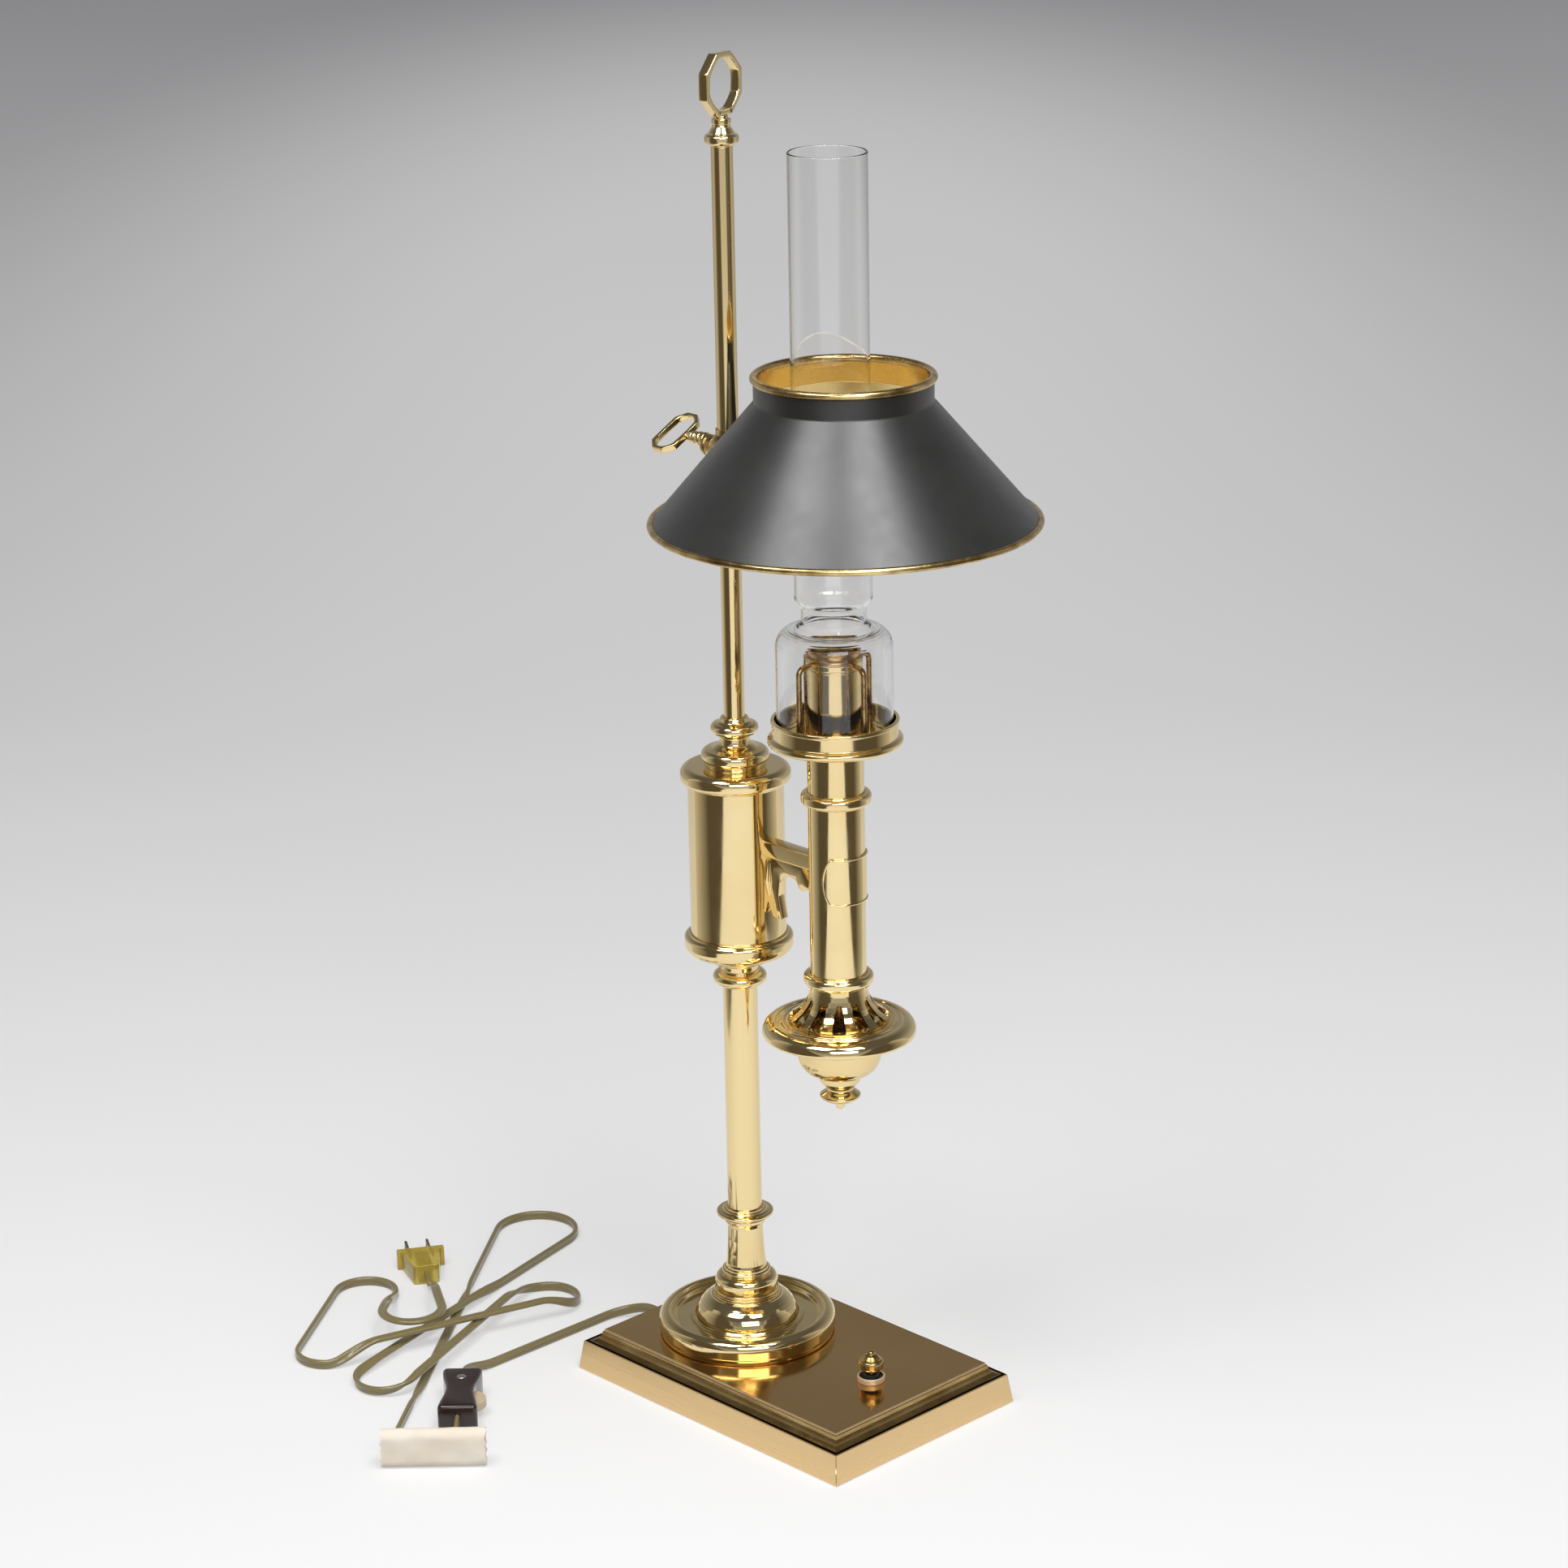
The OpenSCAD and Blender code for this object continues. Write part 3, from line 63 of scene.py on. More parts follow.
# Edges sharper than these are shaded as sharp.
SMOOTH_ANGLE = math.radians(32)
BASE_SMOOTH = math.radians(20)
CORD_SMOOTH = math.radians(70)
# Points nearer than this count as one.
CLOSE = 0.0001
# A straight longer than the first gets points at the second from its ends, so that it is shaded as straight.
STRAIGHT = 1.2
HOLD = 0.4
# Steps of arcs and of roundings over and under 1 mm, in degrees, and the turns that a rounding is made for.
ARC_STEP = 8
ROUND_STEP = 11
EDGE_STEP = 30
LEAST_TURN = 0.02
MOST_TURN = 3.0

RECORD = frame["record"]
BODY_OF = {node: body for body, nodes in RECORD["behaviour"]["bodies"].items() for node in nodes}


def colour_property(name, description, default):
    """A colour that a user would change."""
    return bpy.props.FloatVectorProperty(
        name=name, description=description, default=default, subtype="COLOR", size=3, min=0, max=1
    )


def number_property(name, description, default, low, high, **settings):
    """A number that a user would change, whole if its default is."""
    kind = bpy.props.IntProperty if isinstance(default, int) else bpy.props.FloatProperty
    return kind(name=name, description=description, default=default, min=low, max=high, **settings)


def angle_property(name, description, degrees):
    """An angle that a user would change."""
    return bpy.props.FloatProperty(
        name=name, description=description, default=math.radians(degrees), subtype="ANGLE"
    )


class LampFinishes(bpy.types.PropertyGroup):
    """Colours of the finishes."""

    brass: colour_property("Brass", "Polished brass", (0.90, 0.73, 0.40))
    tarnish: colour_property("Tarnish", "Faint patches in the polished brass", (0.80, 0.61, 0.29))
    satin: colour_property("Satin brass", "Satin sides of the base", (0.77, 0.55, 0.29))
    # The cove colour is painted shade: dark brass in the cove of the base and inside the dimmer nut. The
    # satin collar also takes it for its random dark patches.
    cove: colour_property("Cove", "Darkened cove of the base", (0.36, 0.23, 0.085))
    shade: colour_property("Shade", "Satin paint outside the shade", (0.0500, 0.0505, 0.0500))
    shade_inside: colour_property("Shade inside", "Pale brass inside the shade", (0.80, 0.58, 0.22))
    cap: colour_property("Cap", "Heat-browned cap on the sleeve", (0.34, 0.16, 0.07))
    cord: colour_property("Cord", "Clear cover over the strands of the cord", (0.150, 0.125, 0.055))
    strand: colour_property("Strands", "Strands seen through the cover", (0.42, 0.33, 0.13))
    switch: colour_property("Switch", "Moulded cord switch", (0.022, 0.009, 0.007))
    wheel: colour_property("Wheel", "Thumb wheel of the switch", (0.62, 0.50, 0.34))
    plug: colour_property("Plug", "Clear moulded plug", (0.60, 0.44, 0.045))
    paper: colour_property("Paper", "Blank paper tag", (0.95, 0.88, 0.76))


class LampSizes(bpy.types.PropertyGroup):
    """Sizes that only the looks need."""

    steps: number_property("Steps", "Steps round a turned piece", 128, 24, 256)
    edge: number_property("Edge", "Rounding of a turned edge, in millimetres", 0.25, 0.05, 1)
    slots: number_property("Air slots", "Slots round the air vent", 12, 8, 14)
    ridges: number_property("Ridges", "Ridges of the knurl under the gallery", 150, 60, 200)
    cord_pitch: number_property("Cord pitch", "Distance between rings of the cord, in millimetres", 2.5, 1, 5)


class LampStage(bpy.types.PropertyGroup):
    """Camera and light."""

    lens: number_property("Lens", "Focal length", 95.1, 20, 200, unit="CAMERA")
    turn: angle_property("Turn", "Direction of the view about the lamp", 46.03)
    pitch: angle_property("Pitch", "How far the view looks down", 18.28)
    roll: angle_property("Roll", "Tilt of the view", -1.04)
    distance: number_property(
        "Distance", "From the camera to its target", 2.1924, 0.5, 10, subtype="DISTANCE"
    )
    target: bpy.props.FloatVectorProperty(
        name="Target", description="Point that the camera looks at", default=(0.0036, -0.00266, 0.3539),
        subtype="TRANSLATION", size=3
    )
    left: number_property("Left", "Power of the softbox over the left side, in watts", 16.0, 0, 200)
    right: number_property("Right", "Power of the softbox over the right side, in watts", 16.0, 0, 200)
    front: number_property("Front", "Power of the wide softbox in front, in watts", 26.0, 0, 200)
    floor: colour_property("Floor", "Pale floor", (0.50, 0.50, 0.505))
    card: colour_property("Card", "Dark cards beside the paper", (0.10, 0.085, 0.065))
    glow_near: colour_property("Glow near", "Light of the paper in front of the lamp", (0.46, 0.46, 0.46))
    glow_mid: colour_property("Glow middle", "Light of the paper behind the lamp", (0.315, 0.315, 0.32))
    glow_far: colour_property("Glow far", "Light of the paper far behind", (0.15, 0.15, 0.158))
    glow_pool: colour_property("Glow pool", "Light of the pool behind the lamp", (0.46, 0.46, 0.465))


def colours():
    return bpy.context.scene.lamp_finishes


def sizes():
    return bpy.context.scene.lamp_sizes


def studio():
    return bpy.context.scene.lamp_stage


# Outlines of turned pieces: corners of radius, height and rounding, for a node's outer radius and height


def arc(r, z, radius, start, stop):
    """Points of an arc about (r, z), angles in degrees."""
    count = max(3, round(abs(stop - start) / ARC_STEP))
    angles = [math.radians(start + (stop - start) * k / count) for k in range(count + 1)]
    return [(r + radius * math.cos(a), z + radius * math.sin(a), 0) for a in angles]


def softened(corners, edge, closed=True):
    """Outline whose corners (r, z, rounding) become arcs. A corner without a rounding takes the edge's."""
    count = len(corners)
    spots = [Vector(corner[:2]) for corner in corners]
    arms = [(spots[i - 1] - spots[i], spots[(i + 1) % count] - spots[i]) for i in range(count)]
    bends = []
    for i, (corner, (before, after)) in enumerate(zip(corners, arms)):
        rounding = corner[2] if len(corner) > 2 else edge
        end = not closed and i in (0, count - 1)
        flat = end or min(before.length, after.length) < CLOSE
        turn = 0 if flat else math.pi - before.angle(after)
        bends.append((turn, rounding * math.tan(min(turn, MOST_TURN) / 2)))
    points = []
    for i, (before, after) in enumerate(arms):
        turn, reach = bends[i]
        if turn < LEAST_TURN or reach < CLOSE:
            points.append(spots[i])
            continue
        last, following = bends[i - 1][1], bends[(i + 1) % count][1]
        room = min(before.length / (reach + last), after.length / (reach + following), 1)
        reach *= room
        radius = reach / math.tan(turn / 2)
        inward = (before.normalized() + after.normalized()).normalized()
        centre = spots[i] + inward * radius / math.cos(turn / 2)
        start = spots[i] + before.normalized() * reach - centre
        side = 1 if before.x * after.y - before.y * after.x < 0 else -1
        steps = max(2, math.ceil(turn / math.radians(ROUND_STEP if radius > 1 else EDGE_STEP)))
        for k in range(steps + 1):
            points.append(centre + Matrix.Rotation(side * turn * k / steps, 2) @ start)
    return points


def foot_dish(r, h):
    return [
        (PIPE_HOLE, 0), (r - 1.6, 0), (r - 1.6, 1.4, 0.4), (r, 1.8, 0.8), (r, 12, 5.6),
        (r - 6.6, 12, 1.6), (r - 6.8, 9.6, 0.6), (r - 8.6, 9.4, 0.5), (r - 9.6, 7, 1.2),
        (31.4, 7, 0.5), (31.4, 8.5, 0.7), (29.7, 8.5, 0.3), *arc(14.5, 7, 15, 7, 66), (20, 21),
        (20, h - 2, 0.5), (18.6, h - 2, 0.3), (18.6, h), (PIPE_HOLE, h),
    ]


def foot_collar(r, h):
    bead = r - 0.6
    return [
        (PIPE_HOLE, 0), (r, 0), (r, 1.7, 0.7), (bead - 2.2, 1.7, 0.4), (bead - 2.2, 2.4, 0.4),
        (bead, 2.4, 3.9), (bead, 10.4, 3.9), (13, 10.4, 0.8), (12.2, 11.4, 0.4), (13.5, 11.8, 0.7),
        (13.5, 13.3, 0.7), (12.3, 13.3, 0.3), (12.3, h, 0.4), (PIPE_HOLE, h),
    ]


def column_root(r, h):
    return [
        (PIPE_HOLE, 0), (r, 0), (r, 1.2, 0.5), (r - 0.5, 2.4, 1), (r - 1, 9, 0), (r - 1.5, 17, 0),
        (r - 1.8, h), (PIPE_HOLE, h),
    ]


def column_ring(r, h):
    return [
        (PIPE_HOLE, 0), (10.1, 0), (10.1, 1.7, 0.4), (11.3, 1.8, 1.3), (11.3, 4.6, 1.3),
        (10.7, 4.6, 0.3), (11, 5.1, 0.5), (13, 5.7, 2), (r - 0.5, 6.6, 1), (r, 7.1, 0.5),
        (r, 8.7, 0.7), (13.4, 8.8, 0.5), (11.9, 9.2, 0.6), (11.9, 10, 0.3), (10.5, 10, 0.3),
        (10.5, h, 0.3), (PIPE_HOLE, h),
    ]


def tube(r, h, wall=1.2):
    return [(r - wall, 0), (r, 0), (r, h), (r - wall, h)]


def reservoir_collar(r, h):
    return [
        (PIPE_HOLE, 0), (10.7, 0), (10.7, 0.8, 0.2), (r, 0.8, 3.35), (r, 7.6, 3.35),
        (10.7, 7.6, 0.2), (10.7, h), (PIPE_HOLE, h),
    ]


def reservoir_bottom(r, h):
    return [
        (PIPE_HOLE, 0), (10.2, 0), (10.2, 3.2, 0.5), (12, 3.2, 0.6), (12, 4.7, 0.4),
        (15.6, 4.8, 0.9), (15.6, 7.4, 0.9), (20.4, 7.6, 1), (21.8, 8.6, 0.8), (21.8, 10.2, 0.4),
        (r, 10.2, 5.35), (r, h - 1, 5.35), (27.3, h - 1, 0.2), (27.3, h, 0.3), (PIPE_HOLE, h),
    ]


def reservoir_lid(r, h):
    plug = h - 9.5
    return [
        (ROD_HOLE, 0), (24.8, 0), (24.8, plug, 0.2), (27.1, plug, 0.2), (27.1, plug + 0.6, 0.2),
        (r, plug + 0.6, 4.4), (r, h, 4.4), (ROD_HOLE, h),
    ]


def reservoir_turning(r, h):
    return [
        (ROD_HOLE, 0), (16.6, 0), (16.6, 2.4, 0.6), (15.8, 2.9, 0.3), (r, 2.9, 3.2), (r, 9.3, 3.2),
        (14.8, 9.4, 0.5), (12.4, 9.8, 0.8), (8.4, 12.4, 3.2), (8, 17.5, 2.2), (10, 17.9, 0.4),
        (13, 17.9, 2.9), (13, 23.7, 2.9), (9.8, 23.8, 0.4), (8.2, 24.8, 1.2), (7.3, h, 0.3),
        (ROD_HOLE, h),
    ]


def upper_rod(r, h):
    return [(0, 0), (r, 0), (r, h, 0.4), (0, h)]


def top_finial(r, h):
    return [
        (0, 0), (6.5, 0), (6.5, 0.6, 0.2), (r, 0.6, 2.65), (r, 6, 2.65), (7.1, 6, 0.3),
        (6.8, 6.8, 0.4), (4.8, 9.8, 2.4), (4.5, 11.2, 0.4), (5, 11.4, 0.4), (5, 14.1, 0.6),
        (3.6, 14.1, 0.3), (3.6, h, 0.4), (0, h),
    ]


def burner_tube(r, h):
    return tube(r, h, 1)


def burner_ring(r, h):
    return [
        (15.05, 0), (16.4, 0, 0.3), (16.6, 0.5, 0.2), (r, 0.5, 2.85), (r, h - 0.5, 2.85),
        (16.6, h - 0.5, 0.2), (16.4, h, 0.3), (15.05, h),
    ]


def gallery(r, h):
    wall = r - 2.4
    return [
        (PIPE_HOLE, 0), (r - 3, 0), (r - 1.2, 0.2, 0.3), (r, 1.3, 0.8), (r, 3.4, 1.4),
        (wall, 4.9, 0.5), (wall, h - 2.2, 0.3), (wall + 0.5, h - 2, 0.3), (wall + 0.5, h, 0.8),
        (wall - 1.5, h, 0.6), (wall - 1.5, 3, 0.6), (PIPE_HOLE, 3),
    ]


def socket_sleeve(r, h):
    return tube(r, h, 0.7)


def sleeve_cap(r, h):
    return [
        (14.15, 0), (14.65, 0, 0.1), (14.65, 0.9, 0.2), (14.4, 1.1, 0.1), (14.4, 1.5, 0.1),
        (14.65, 1.7, 0.2), (14.65, 4.4, 0.2), (r, 4.6, 0.3), (r, 6.9, 1.1), (13.4, 7.2, 0.5),
        (13.2, 7.8, 0.4), (13.2, h - 1.6, 0.4), (13.9, h - 1.3, 0.3), (13.9, h, 0.6),
        (12.3, h, 0.6), (12.4, 6.1, 0.2), (14.15, 6.1),
    ]


def air_vent(r, h):
    flare = h - 1
    centre = r - 26.5 + 15.2 + flare
    reach = math.degrees(math.acos((centre - r) / flare))
    shell = flare + 1.4
    inner = math.degrees(math.acos((centre - r + 1.4) / shell))
    return [
        *arc(centre, h, flare, 180 + reach, 180), *arc(centre, h, shell, 180, 180 + inner),
        (r - 1.4, 0), (r, 0),
    ]


def vent_disc(r, h):
    return [
        (18.5, h - 2.5), (18.5, h - 0.9), (26.9, h - 0.9, 0.3), (27.2, h - 0.2, 0.3),
        (28.6, h - 0.2, 0.3), (28.9, h - 0.9, 0.2), (29.4, h - 0.9, 0.2), (29.6, h, 0.6),
        (31, h, 0.6), (31.3, h - 0.9, 0.3), (33.8, h - 0.9, 0.3), (34.2, h - 0.3, 0.3),
        (r, h - 0.3, 6), (r, 0, 0.5), (24.6, 0, 0.4), (24.2, 0.5, 0.2), (23.4, 0.5, 0.2),
        (23.1, 0, 0.2), (18.5, 0), (18.5, 1.6), (r - 1.6, 1.6, 0.4), (r - 1.6, h - 2.5, 4.2),
    ]


def drip_bowl(r, h):
    bend = 12
    return [
        (PIPE_HOLE, 0), (9, 0, 0), *arc(r - bend, bend, bend, -88, -2), (r, h - 1.8, 0.3),
        (r + 0.5, h - 1.6, 0.2), (r + 0.5, h - 0.1, 0.4), (r - 1.6, h - 0.1, 0.3),
        *arc(r - bend, bend, bend - 1.6, -2, -88), (PIPE_HOLE, 1.6),
    ]


def drip_finial(r, h):
    return [
        (0, 0), (2.4, 0, 1.2), (2.4, 2.6, 0.4), (3.2, 3, 0.4), (7.4, 4.6, 2.5), (r, 7, 1.5),
        (r, 8.4, 0.8), (8.4, 10.2, 1), (6.9, 11, 0.6), (6.9, 12.4, 0.8), (9.2, 14.2, 1.6),
        (10.4, 16, 0.5), (10.9, 16.2, 0.4), (10.9, h, 0.5), (0, h),
    ]


def chimney(r, h):
    wall, neck, waist = 1.1, 20.4, 17.2
    outside = [
        (r, 0, 0.85), (r, 59, 9.5), (20.4, 59.6, 2.6), (waist, 62.6, 2.6), (waist, 71, 3), (neck, 74.6, 5),
    ]
    inside = [(waist - wall, 71.6, 4), (waist - wall, 61.8, 3), (19.4, 58, 3), (r - wall, 57.2, 7.7)]
    rim = [(neck, h, 0.85), (neck - wall, h, 0.85), (neck - wall, 75, 5)]
    return [*outside, *rim, *inside, (r - wall, 0, 0.85)]


def dimmer_nut(r, h):
    return [
        (4.8, 0), (r, 0, 0.4), (r, h, 0.6), (r - 1.2, h, 0.5), (r - 1.6, 0.8, 0.3), (4.8, 0.8),
    ]


def dimmer_knob(r, h):
    z0 = h - 13
    return [
        (0, 0), (3, 0), (3, z0 - 1.5, 0.4), (2.2, z0 - 1, 0.4), (2.2, z0 + 1.4, 0.6),
        (4.4, z0 + 2, 0.4), (r, z0 + 2.4, 2.8), (r, z0 + 8.1, 2.8), (5.4, z0 + 8.2, 0.3),
        (5.2, z0 + 8.8, 0.4), (3.4, z0 + 10.6, 1.5), (2, z0 + 11, 0.3), (2, h, 1.4), (0, h),
    ]


# Mesh work


def held(points, closed):
    """Outline with a point beside each end of its straights, so that they are shaded as straight."""
    result = []
    for i, spot in enumerate(points):
        result.append(spot)
        span = points[(i + 1) % len(points)] - spot
        if span.length > STRAIGHT and (closed or i < len(points) - 1):
            step = span.normalized() * min(HOLD, span.length / 4)
            result += [spot + step, spot + span - step]
    return result


def looped(mesh, points, closed=True):
    """Vertices at the points, and the edges that join them in their order."""
    spots = [mesh.verts.new(point) for point in points]
    pairs = zip(spots, spots[1:] + spots[:1] if closed else spots[1:])
    return spots, [mesh.edges.new(pair) for pair in pairs]


def only(items, kind):
    """Items of one kind among those that an operator made."""
    return [item for item in items if isinstance(item, kind)]


def spun(corners, steps=None):
    """Outline turned about the z axis. One that starts and ends on the axis is left open there."""
    solid = corners[0][0] == 0 and corners[-1][0] == 0
    points = held(softened(corners, sizes().edge, closed=not solid), not solid)
    mesh = bmesh.new()
    spots, edges = looped(mesh, [(p.x, 0, p.y) for p in points], closed=not solid)
    bmesh.ops.spin(
        mesh, geom=spots + edges, cent=(0, 0, 0), axis=(0, 0, 1), angle=2 * math.pi,
        steps=steps or sizes().steps, use_merge=True
    )
    bmesh.ops.remove_doubles(mesh, verts=mesh.verts, dist=CLOSE)
    return mesh


def thickened(mesh, thick):
    """Flat faces raised along z to a plate."""
    raised = bmesh.ops.extrude_face_region(mesh, geom=mesh.faces[:])["geom"]
    bmesh.ops.translate(mesh, verts=only(raised, BMVert), vec=(0, 0, thick))
    bmesh.ops.recalc_face_normals(mesh, faces=mesh.faces)
    return mesh


def slab(points, thick):
    """Flat outline in the xy plane, raised to a plate between z = 0 and thick."""
    mesh = bmesh.new()
    mesh.faces.new([mesh.verts.new((*p[:2], 0)) for p in points])
    return thickened(mesh, thick)


def block(size):
    """Box of a size about the origin."""
    mesh = bmesh.new()
    bmesh.ops.create_cube(mesh, size=1)
    bmesh.ops.scale(mesh, vec=size, verts=mesh.verts)
    return mesh


def drawn(mesh, edges, vec):
    """Carries a loop of edges along and gives back the loop at its new end."""
    grown = bmesh.ops.extrude_edge_only(mesh, edges=edges)["geom"]
    bmesh.ops.translate(mesh, verts=only(grown, BMVert), vec=vec)
    return [e for e in only(grown, BMEdge) if e.is_boundary]


def ridged(mesh, count, depth, chosen):
    """Draws the chosen vertices in by even ridges round the z axis."""
    for v in mesh.verts:
        if chosen(v.co):
            v.co.xy *= 1 - depth * (0.5 - 0.5 * math.cos(count * math.atan2(v.co.y, v.co.x)))


def level_edges(mesh):
    """Edges that lie level."""
    return [e for e in mesh.edges if abs(e.verts[0].co.z - e.verts[1].co.z) < CLOSE]


def bevel_edges(mesh, chosen, offset, segments):
    bmesh.ops.bevel(
        mesh, geom=chosen, offset=offset, offset_type="OFFSET", affect="EDGES", segments=segments,
        profile=0.5, material=-1, clamp_overlap=True
    )


def rotated(degrees, axis):
    return Matrix.Rotation(math.radians(degrees), 4, axis)


def turn_mesh(mesh, matrix):
    bmesh.ops.transform(mesh, matrix=matrix, verts=mesh.verts)
    return mesh


def moved(mesh, x, y, z):
    return turn_mesh(mesh, Matrix.Translation((x, y, z)))


def painted(mesh, choose):
    """Gives each face the number of its finish, chosen by the face and its middle."""
    for face in mesh.faces:
        face.material_index = choose(face, face.calc_center_median())


def joined(meshes):
    """One mesh that holds several."""
    whole = bmesh.new()
    for mesh in meshes:
        data = bpy.data.meshes.new("shape")
        mesh.to_mesh(data)
        mesh.free()
        whole.from_mesh(data)
        bpy.data.meshes.remove(data)
    return whole


def shown(name, mesh):
    """Object of a mesh, linked to the scene."""
    data = bpy.data.meshes.new(name)
    mesh.to_mesh(data)
    mesh.free()
    thing = bpy.data.objects.new(name, data)
    bpy.context.scene.collection.objects.link(thing)
    return thing


def carved(mesh, cutter):
    """Mesh with the cutter's volume taken out of it."""
    for part in (mesh, cutter):
        bmesh.ops.recalc_face_normals(part, faces=part.faces)
    things = [shown("blank", mesh), shown("cutter", cutter)]
    cut = things[0].modifiers.new("cut", "BOOLEAN")
    cut.operation = "DIFFERENCE"
    cut.solver = "EXACT"
    cut.object = things[1]
    result = bmesh.new()
    result.from_object(things[0], bpy.context.evaluated_depsgraph_get())
    for thing in things:
        data = thing.data
        bpy.data.objects.remove(thing)
        bpy.data.meshes.remove(data)
    return result


def direction(path, i):
    """Direction of a path at one of its points."""
    return (path[min(i + 1, len(path) - 1)] - path[max(i - 1, 0)]).normalized()


def swept(path, section, wides):
    """Tube of a flat section along a path. The section's first axis follows the given wide directions."""
    mesh = bmesh.new()
    grain = mesh.loops.layers.uv.new("along")
    rings = []
    lengths = [0.0]
    for i, (spot, wide) in enumerate(zip(path, wides)):
        thin = direction(path, i).cross(wide)
        rings.append([mesh.verts.new(spot + wide * a + thin * b) for a, b in section])
        lengths.append(lengths[-1] + (path[min(i + 1, len(path) - 1)] - spot).length)
    count = len(section)
    for i in range(len(rings) - 1):
        for k in range(count):
            n = (k + 1) % count
            face = mesh.faces.new([rings[i][k], rings[i][n], rings[i + 1][n], rings[i + 1][k]])
            marks = [(i, k), (i, k + 1), (i + 1, k + 1), (i + 1, k)]
            for loop, (row, column) in zip(face.loops, marks):
                loop[grain].uv = (lengths[row] * MM, column / count)
    mesh.faces.new(rings[0][::-1])
    mesh.faces.new(rings[-1])
    return mesh


def make_piece(name, mesh, node, *finishes, smooth=SMOOTH_ANGLE):
    """Finished piece that stands for a CAD node, on its body and with its slot."""
    bmesh.ops.remove_doubles(mesh, verts=mesh.verts, dist=CLOSE)
    bmesh.ops.recalc_face_normals(mesh, faces=mesh.faces)
    bmesh.ops.scale(mesh, vec=(MM, MM, MM), verts=mesh.verts)
    for face in mesh.faces:
        face.smooth = True
    piece = shown(name, mesh)
    piece.data.set_sharp_from_angle(angle=smooth)
    for finish in finishes:
        piece.data.materials.append(finish)
    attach(piece, BODY_OF[node])
    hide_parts(node)
    return piece


def box_of(node):
    """Lowest and highest corner of a node's box, in millimetres."""
    return [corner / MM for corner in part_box(node)]


def seat_of(node):
    """Axis, lowest and highest level and outer radius of a turned node, in millimetres."""
    low, high = box_of(node)
    return (low.x + high.x) / 2, low.z, high.z, (high.x - low.x) / 2


def turned_mesh(node, outline):
    """Turned shape at a node's place, its outline fitted to the node's radius and height."""
    x, low, high, radius = seat_of(node)
    return moved(spun(outline(radius, high - low)), x, 0, low)


def turned_piece(node, outline, finish):
    make_piece(f"{node}_turned", turned_mesh(node, outline), node, finish)


# Finishes


def new_finish(name, **settings):
    """Material with its shader, constants set on the shader's own sockets."""
    finish = bpy.data.materials.new(name)
    finish.use_nodes = True
    shader = finish.node_tree.nodes["Principled BSDF"]
    for socket, value in settings.items():
        shader.inputs[socket.replace("_", " ")].default_value = value
    return finish, shader


def add_node(finish, kind, links=(), **settings):
    """Node whose inputs take values or other nodes' outputs."""
    node = finish.node_tree.nodes.new(kind)
    for key, value in settings.items():
        setattr(node, key, value)
    for socket, value in dict(links).items():
        if isinstance(value, bpy.types.NodeSocket):
            finish.node_tree.links.new(value, node.inputs[socket])
        else:
            node.inputs[socket].default_value = value
    return node


def patches(finish, scale, detail, stretch=(1, 1, 1)):
    """Soft noise over the piece, as a value."""
    place = add_node(finish, "ShaderNodeTexCoord")
    fitted = add_node(finish, "ShaderNodeMapping", {"Vector": place.outputs["Object"], "Scale": stretch})
    noise = add_node(
        finish, "ShaderNodeTexNoise", {"Vector": fitted.outputs["Vector"], "Scale": scale, "Detail": detail}
    )
    return noise.outputs["Fac"]


def spread(finish, value, low, high, start=0.3, stop=0.7, curve="LINEAR"):
    """Value stretched between two limits."""
    node = add_node(
        finish, "ShaderNodeMapRange",
        {"Value": value, "From Min": start, "From Max": stop, "To Min": low, "To Max": high},
        interpolation_type=curve
    )
    return node.outputs["Result"]


def mixed(finish, value, first, second):
    """Colour between two colours, the first of which may come from a node."""
    if not isinstance(first, bpy.types.NodeSocket):
        first = (*first, 1)
    node = add_node(finish, "ShaderNodeMix", {0: value, 6: first, 7: (*second, 1)}, data_type="RGBA")
    return node.outputs[2]


def join_socket(finish, shader, socket, output):
    finish.node_tree.links.new(output, shader.inputs[socket])


def add_bump(finish, shader, height, strength, depth):
    node = add_node(finish, "ShaderNodeBump", {"Height": height, "Strength": strength, "Distance": depth})
    join_socket(finish, shader, "Normal", node.outputs["Normal"])


def surface(name, first, second, cloud, rough, bump=(), **settings):
    """Finish that drifts between two colours and two roughnesses, with fine bumps if need be.

    cloud is the largest share of the second colour and a noise, rough is the two roughnesses and a noise,
    and bump is a strength, a depth in metres and a noise. A noise is a scale, a detail and, if need be, a
    stretch.
    """
    finish, shader = new_finish(name, **settings)
    share, *noise = cloud
    blend = spread(finish, patches(finish, *noise), 0, share)
    join_socket(finish, shader, "Base Color", mixed(finish, blend, first, second))
    low, high, *noise = rough
    join_socket(finish, shader, "Roughness", spread(finish, patches(finish, *noise), low, high))
    if bump:
        strength, depth, *noise = bump
        add_bump(finish, shader, patches(finish, *noise), strength, depth)
    return finish


def polished_brass():
    """Lacquered mirror brass with faint cloudy patches and hairline marks."""
    return surface(
        "lamp polished brass", colours().brass, colours().tarnish, (0.55, 28, 5), (0.045, 0.12, 60, 6),
        (0.02, 0.0004, 420, 4, (1, 1, 0.3)), Metallic=1, IOR=1.45
    )


def rod_brass():
    """Drawn tube with fine marks along its length."""
    return surface(
        "lamp drawn brass", colours().brass, colours().tarnish, (0.6, 40, 5, (1, 1, 0.08)),
        (0.05, 0.13, 300, 4, (1, 1, 0.02)), (0.025, 0.0003, 900, 3, (1, 1, 0.01)), Metallic=1
    )


def satin_brass():
    """Brushed sides of the base, the strokes running along them."""
    strokes = (260, 5, (0.03, 0.03, 6))
    return surface(
        "lamp satin brass", colours().satin, colours().tarnish, (0.25, *strokes), (0.24, 0.36, *strokes),
        (0.025, 0.0003, *strokes), Metallic=1
    )


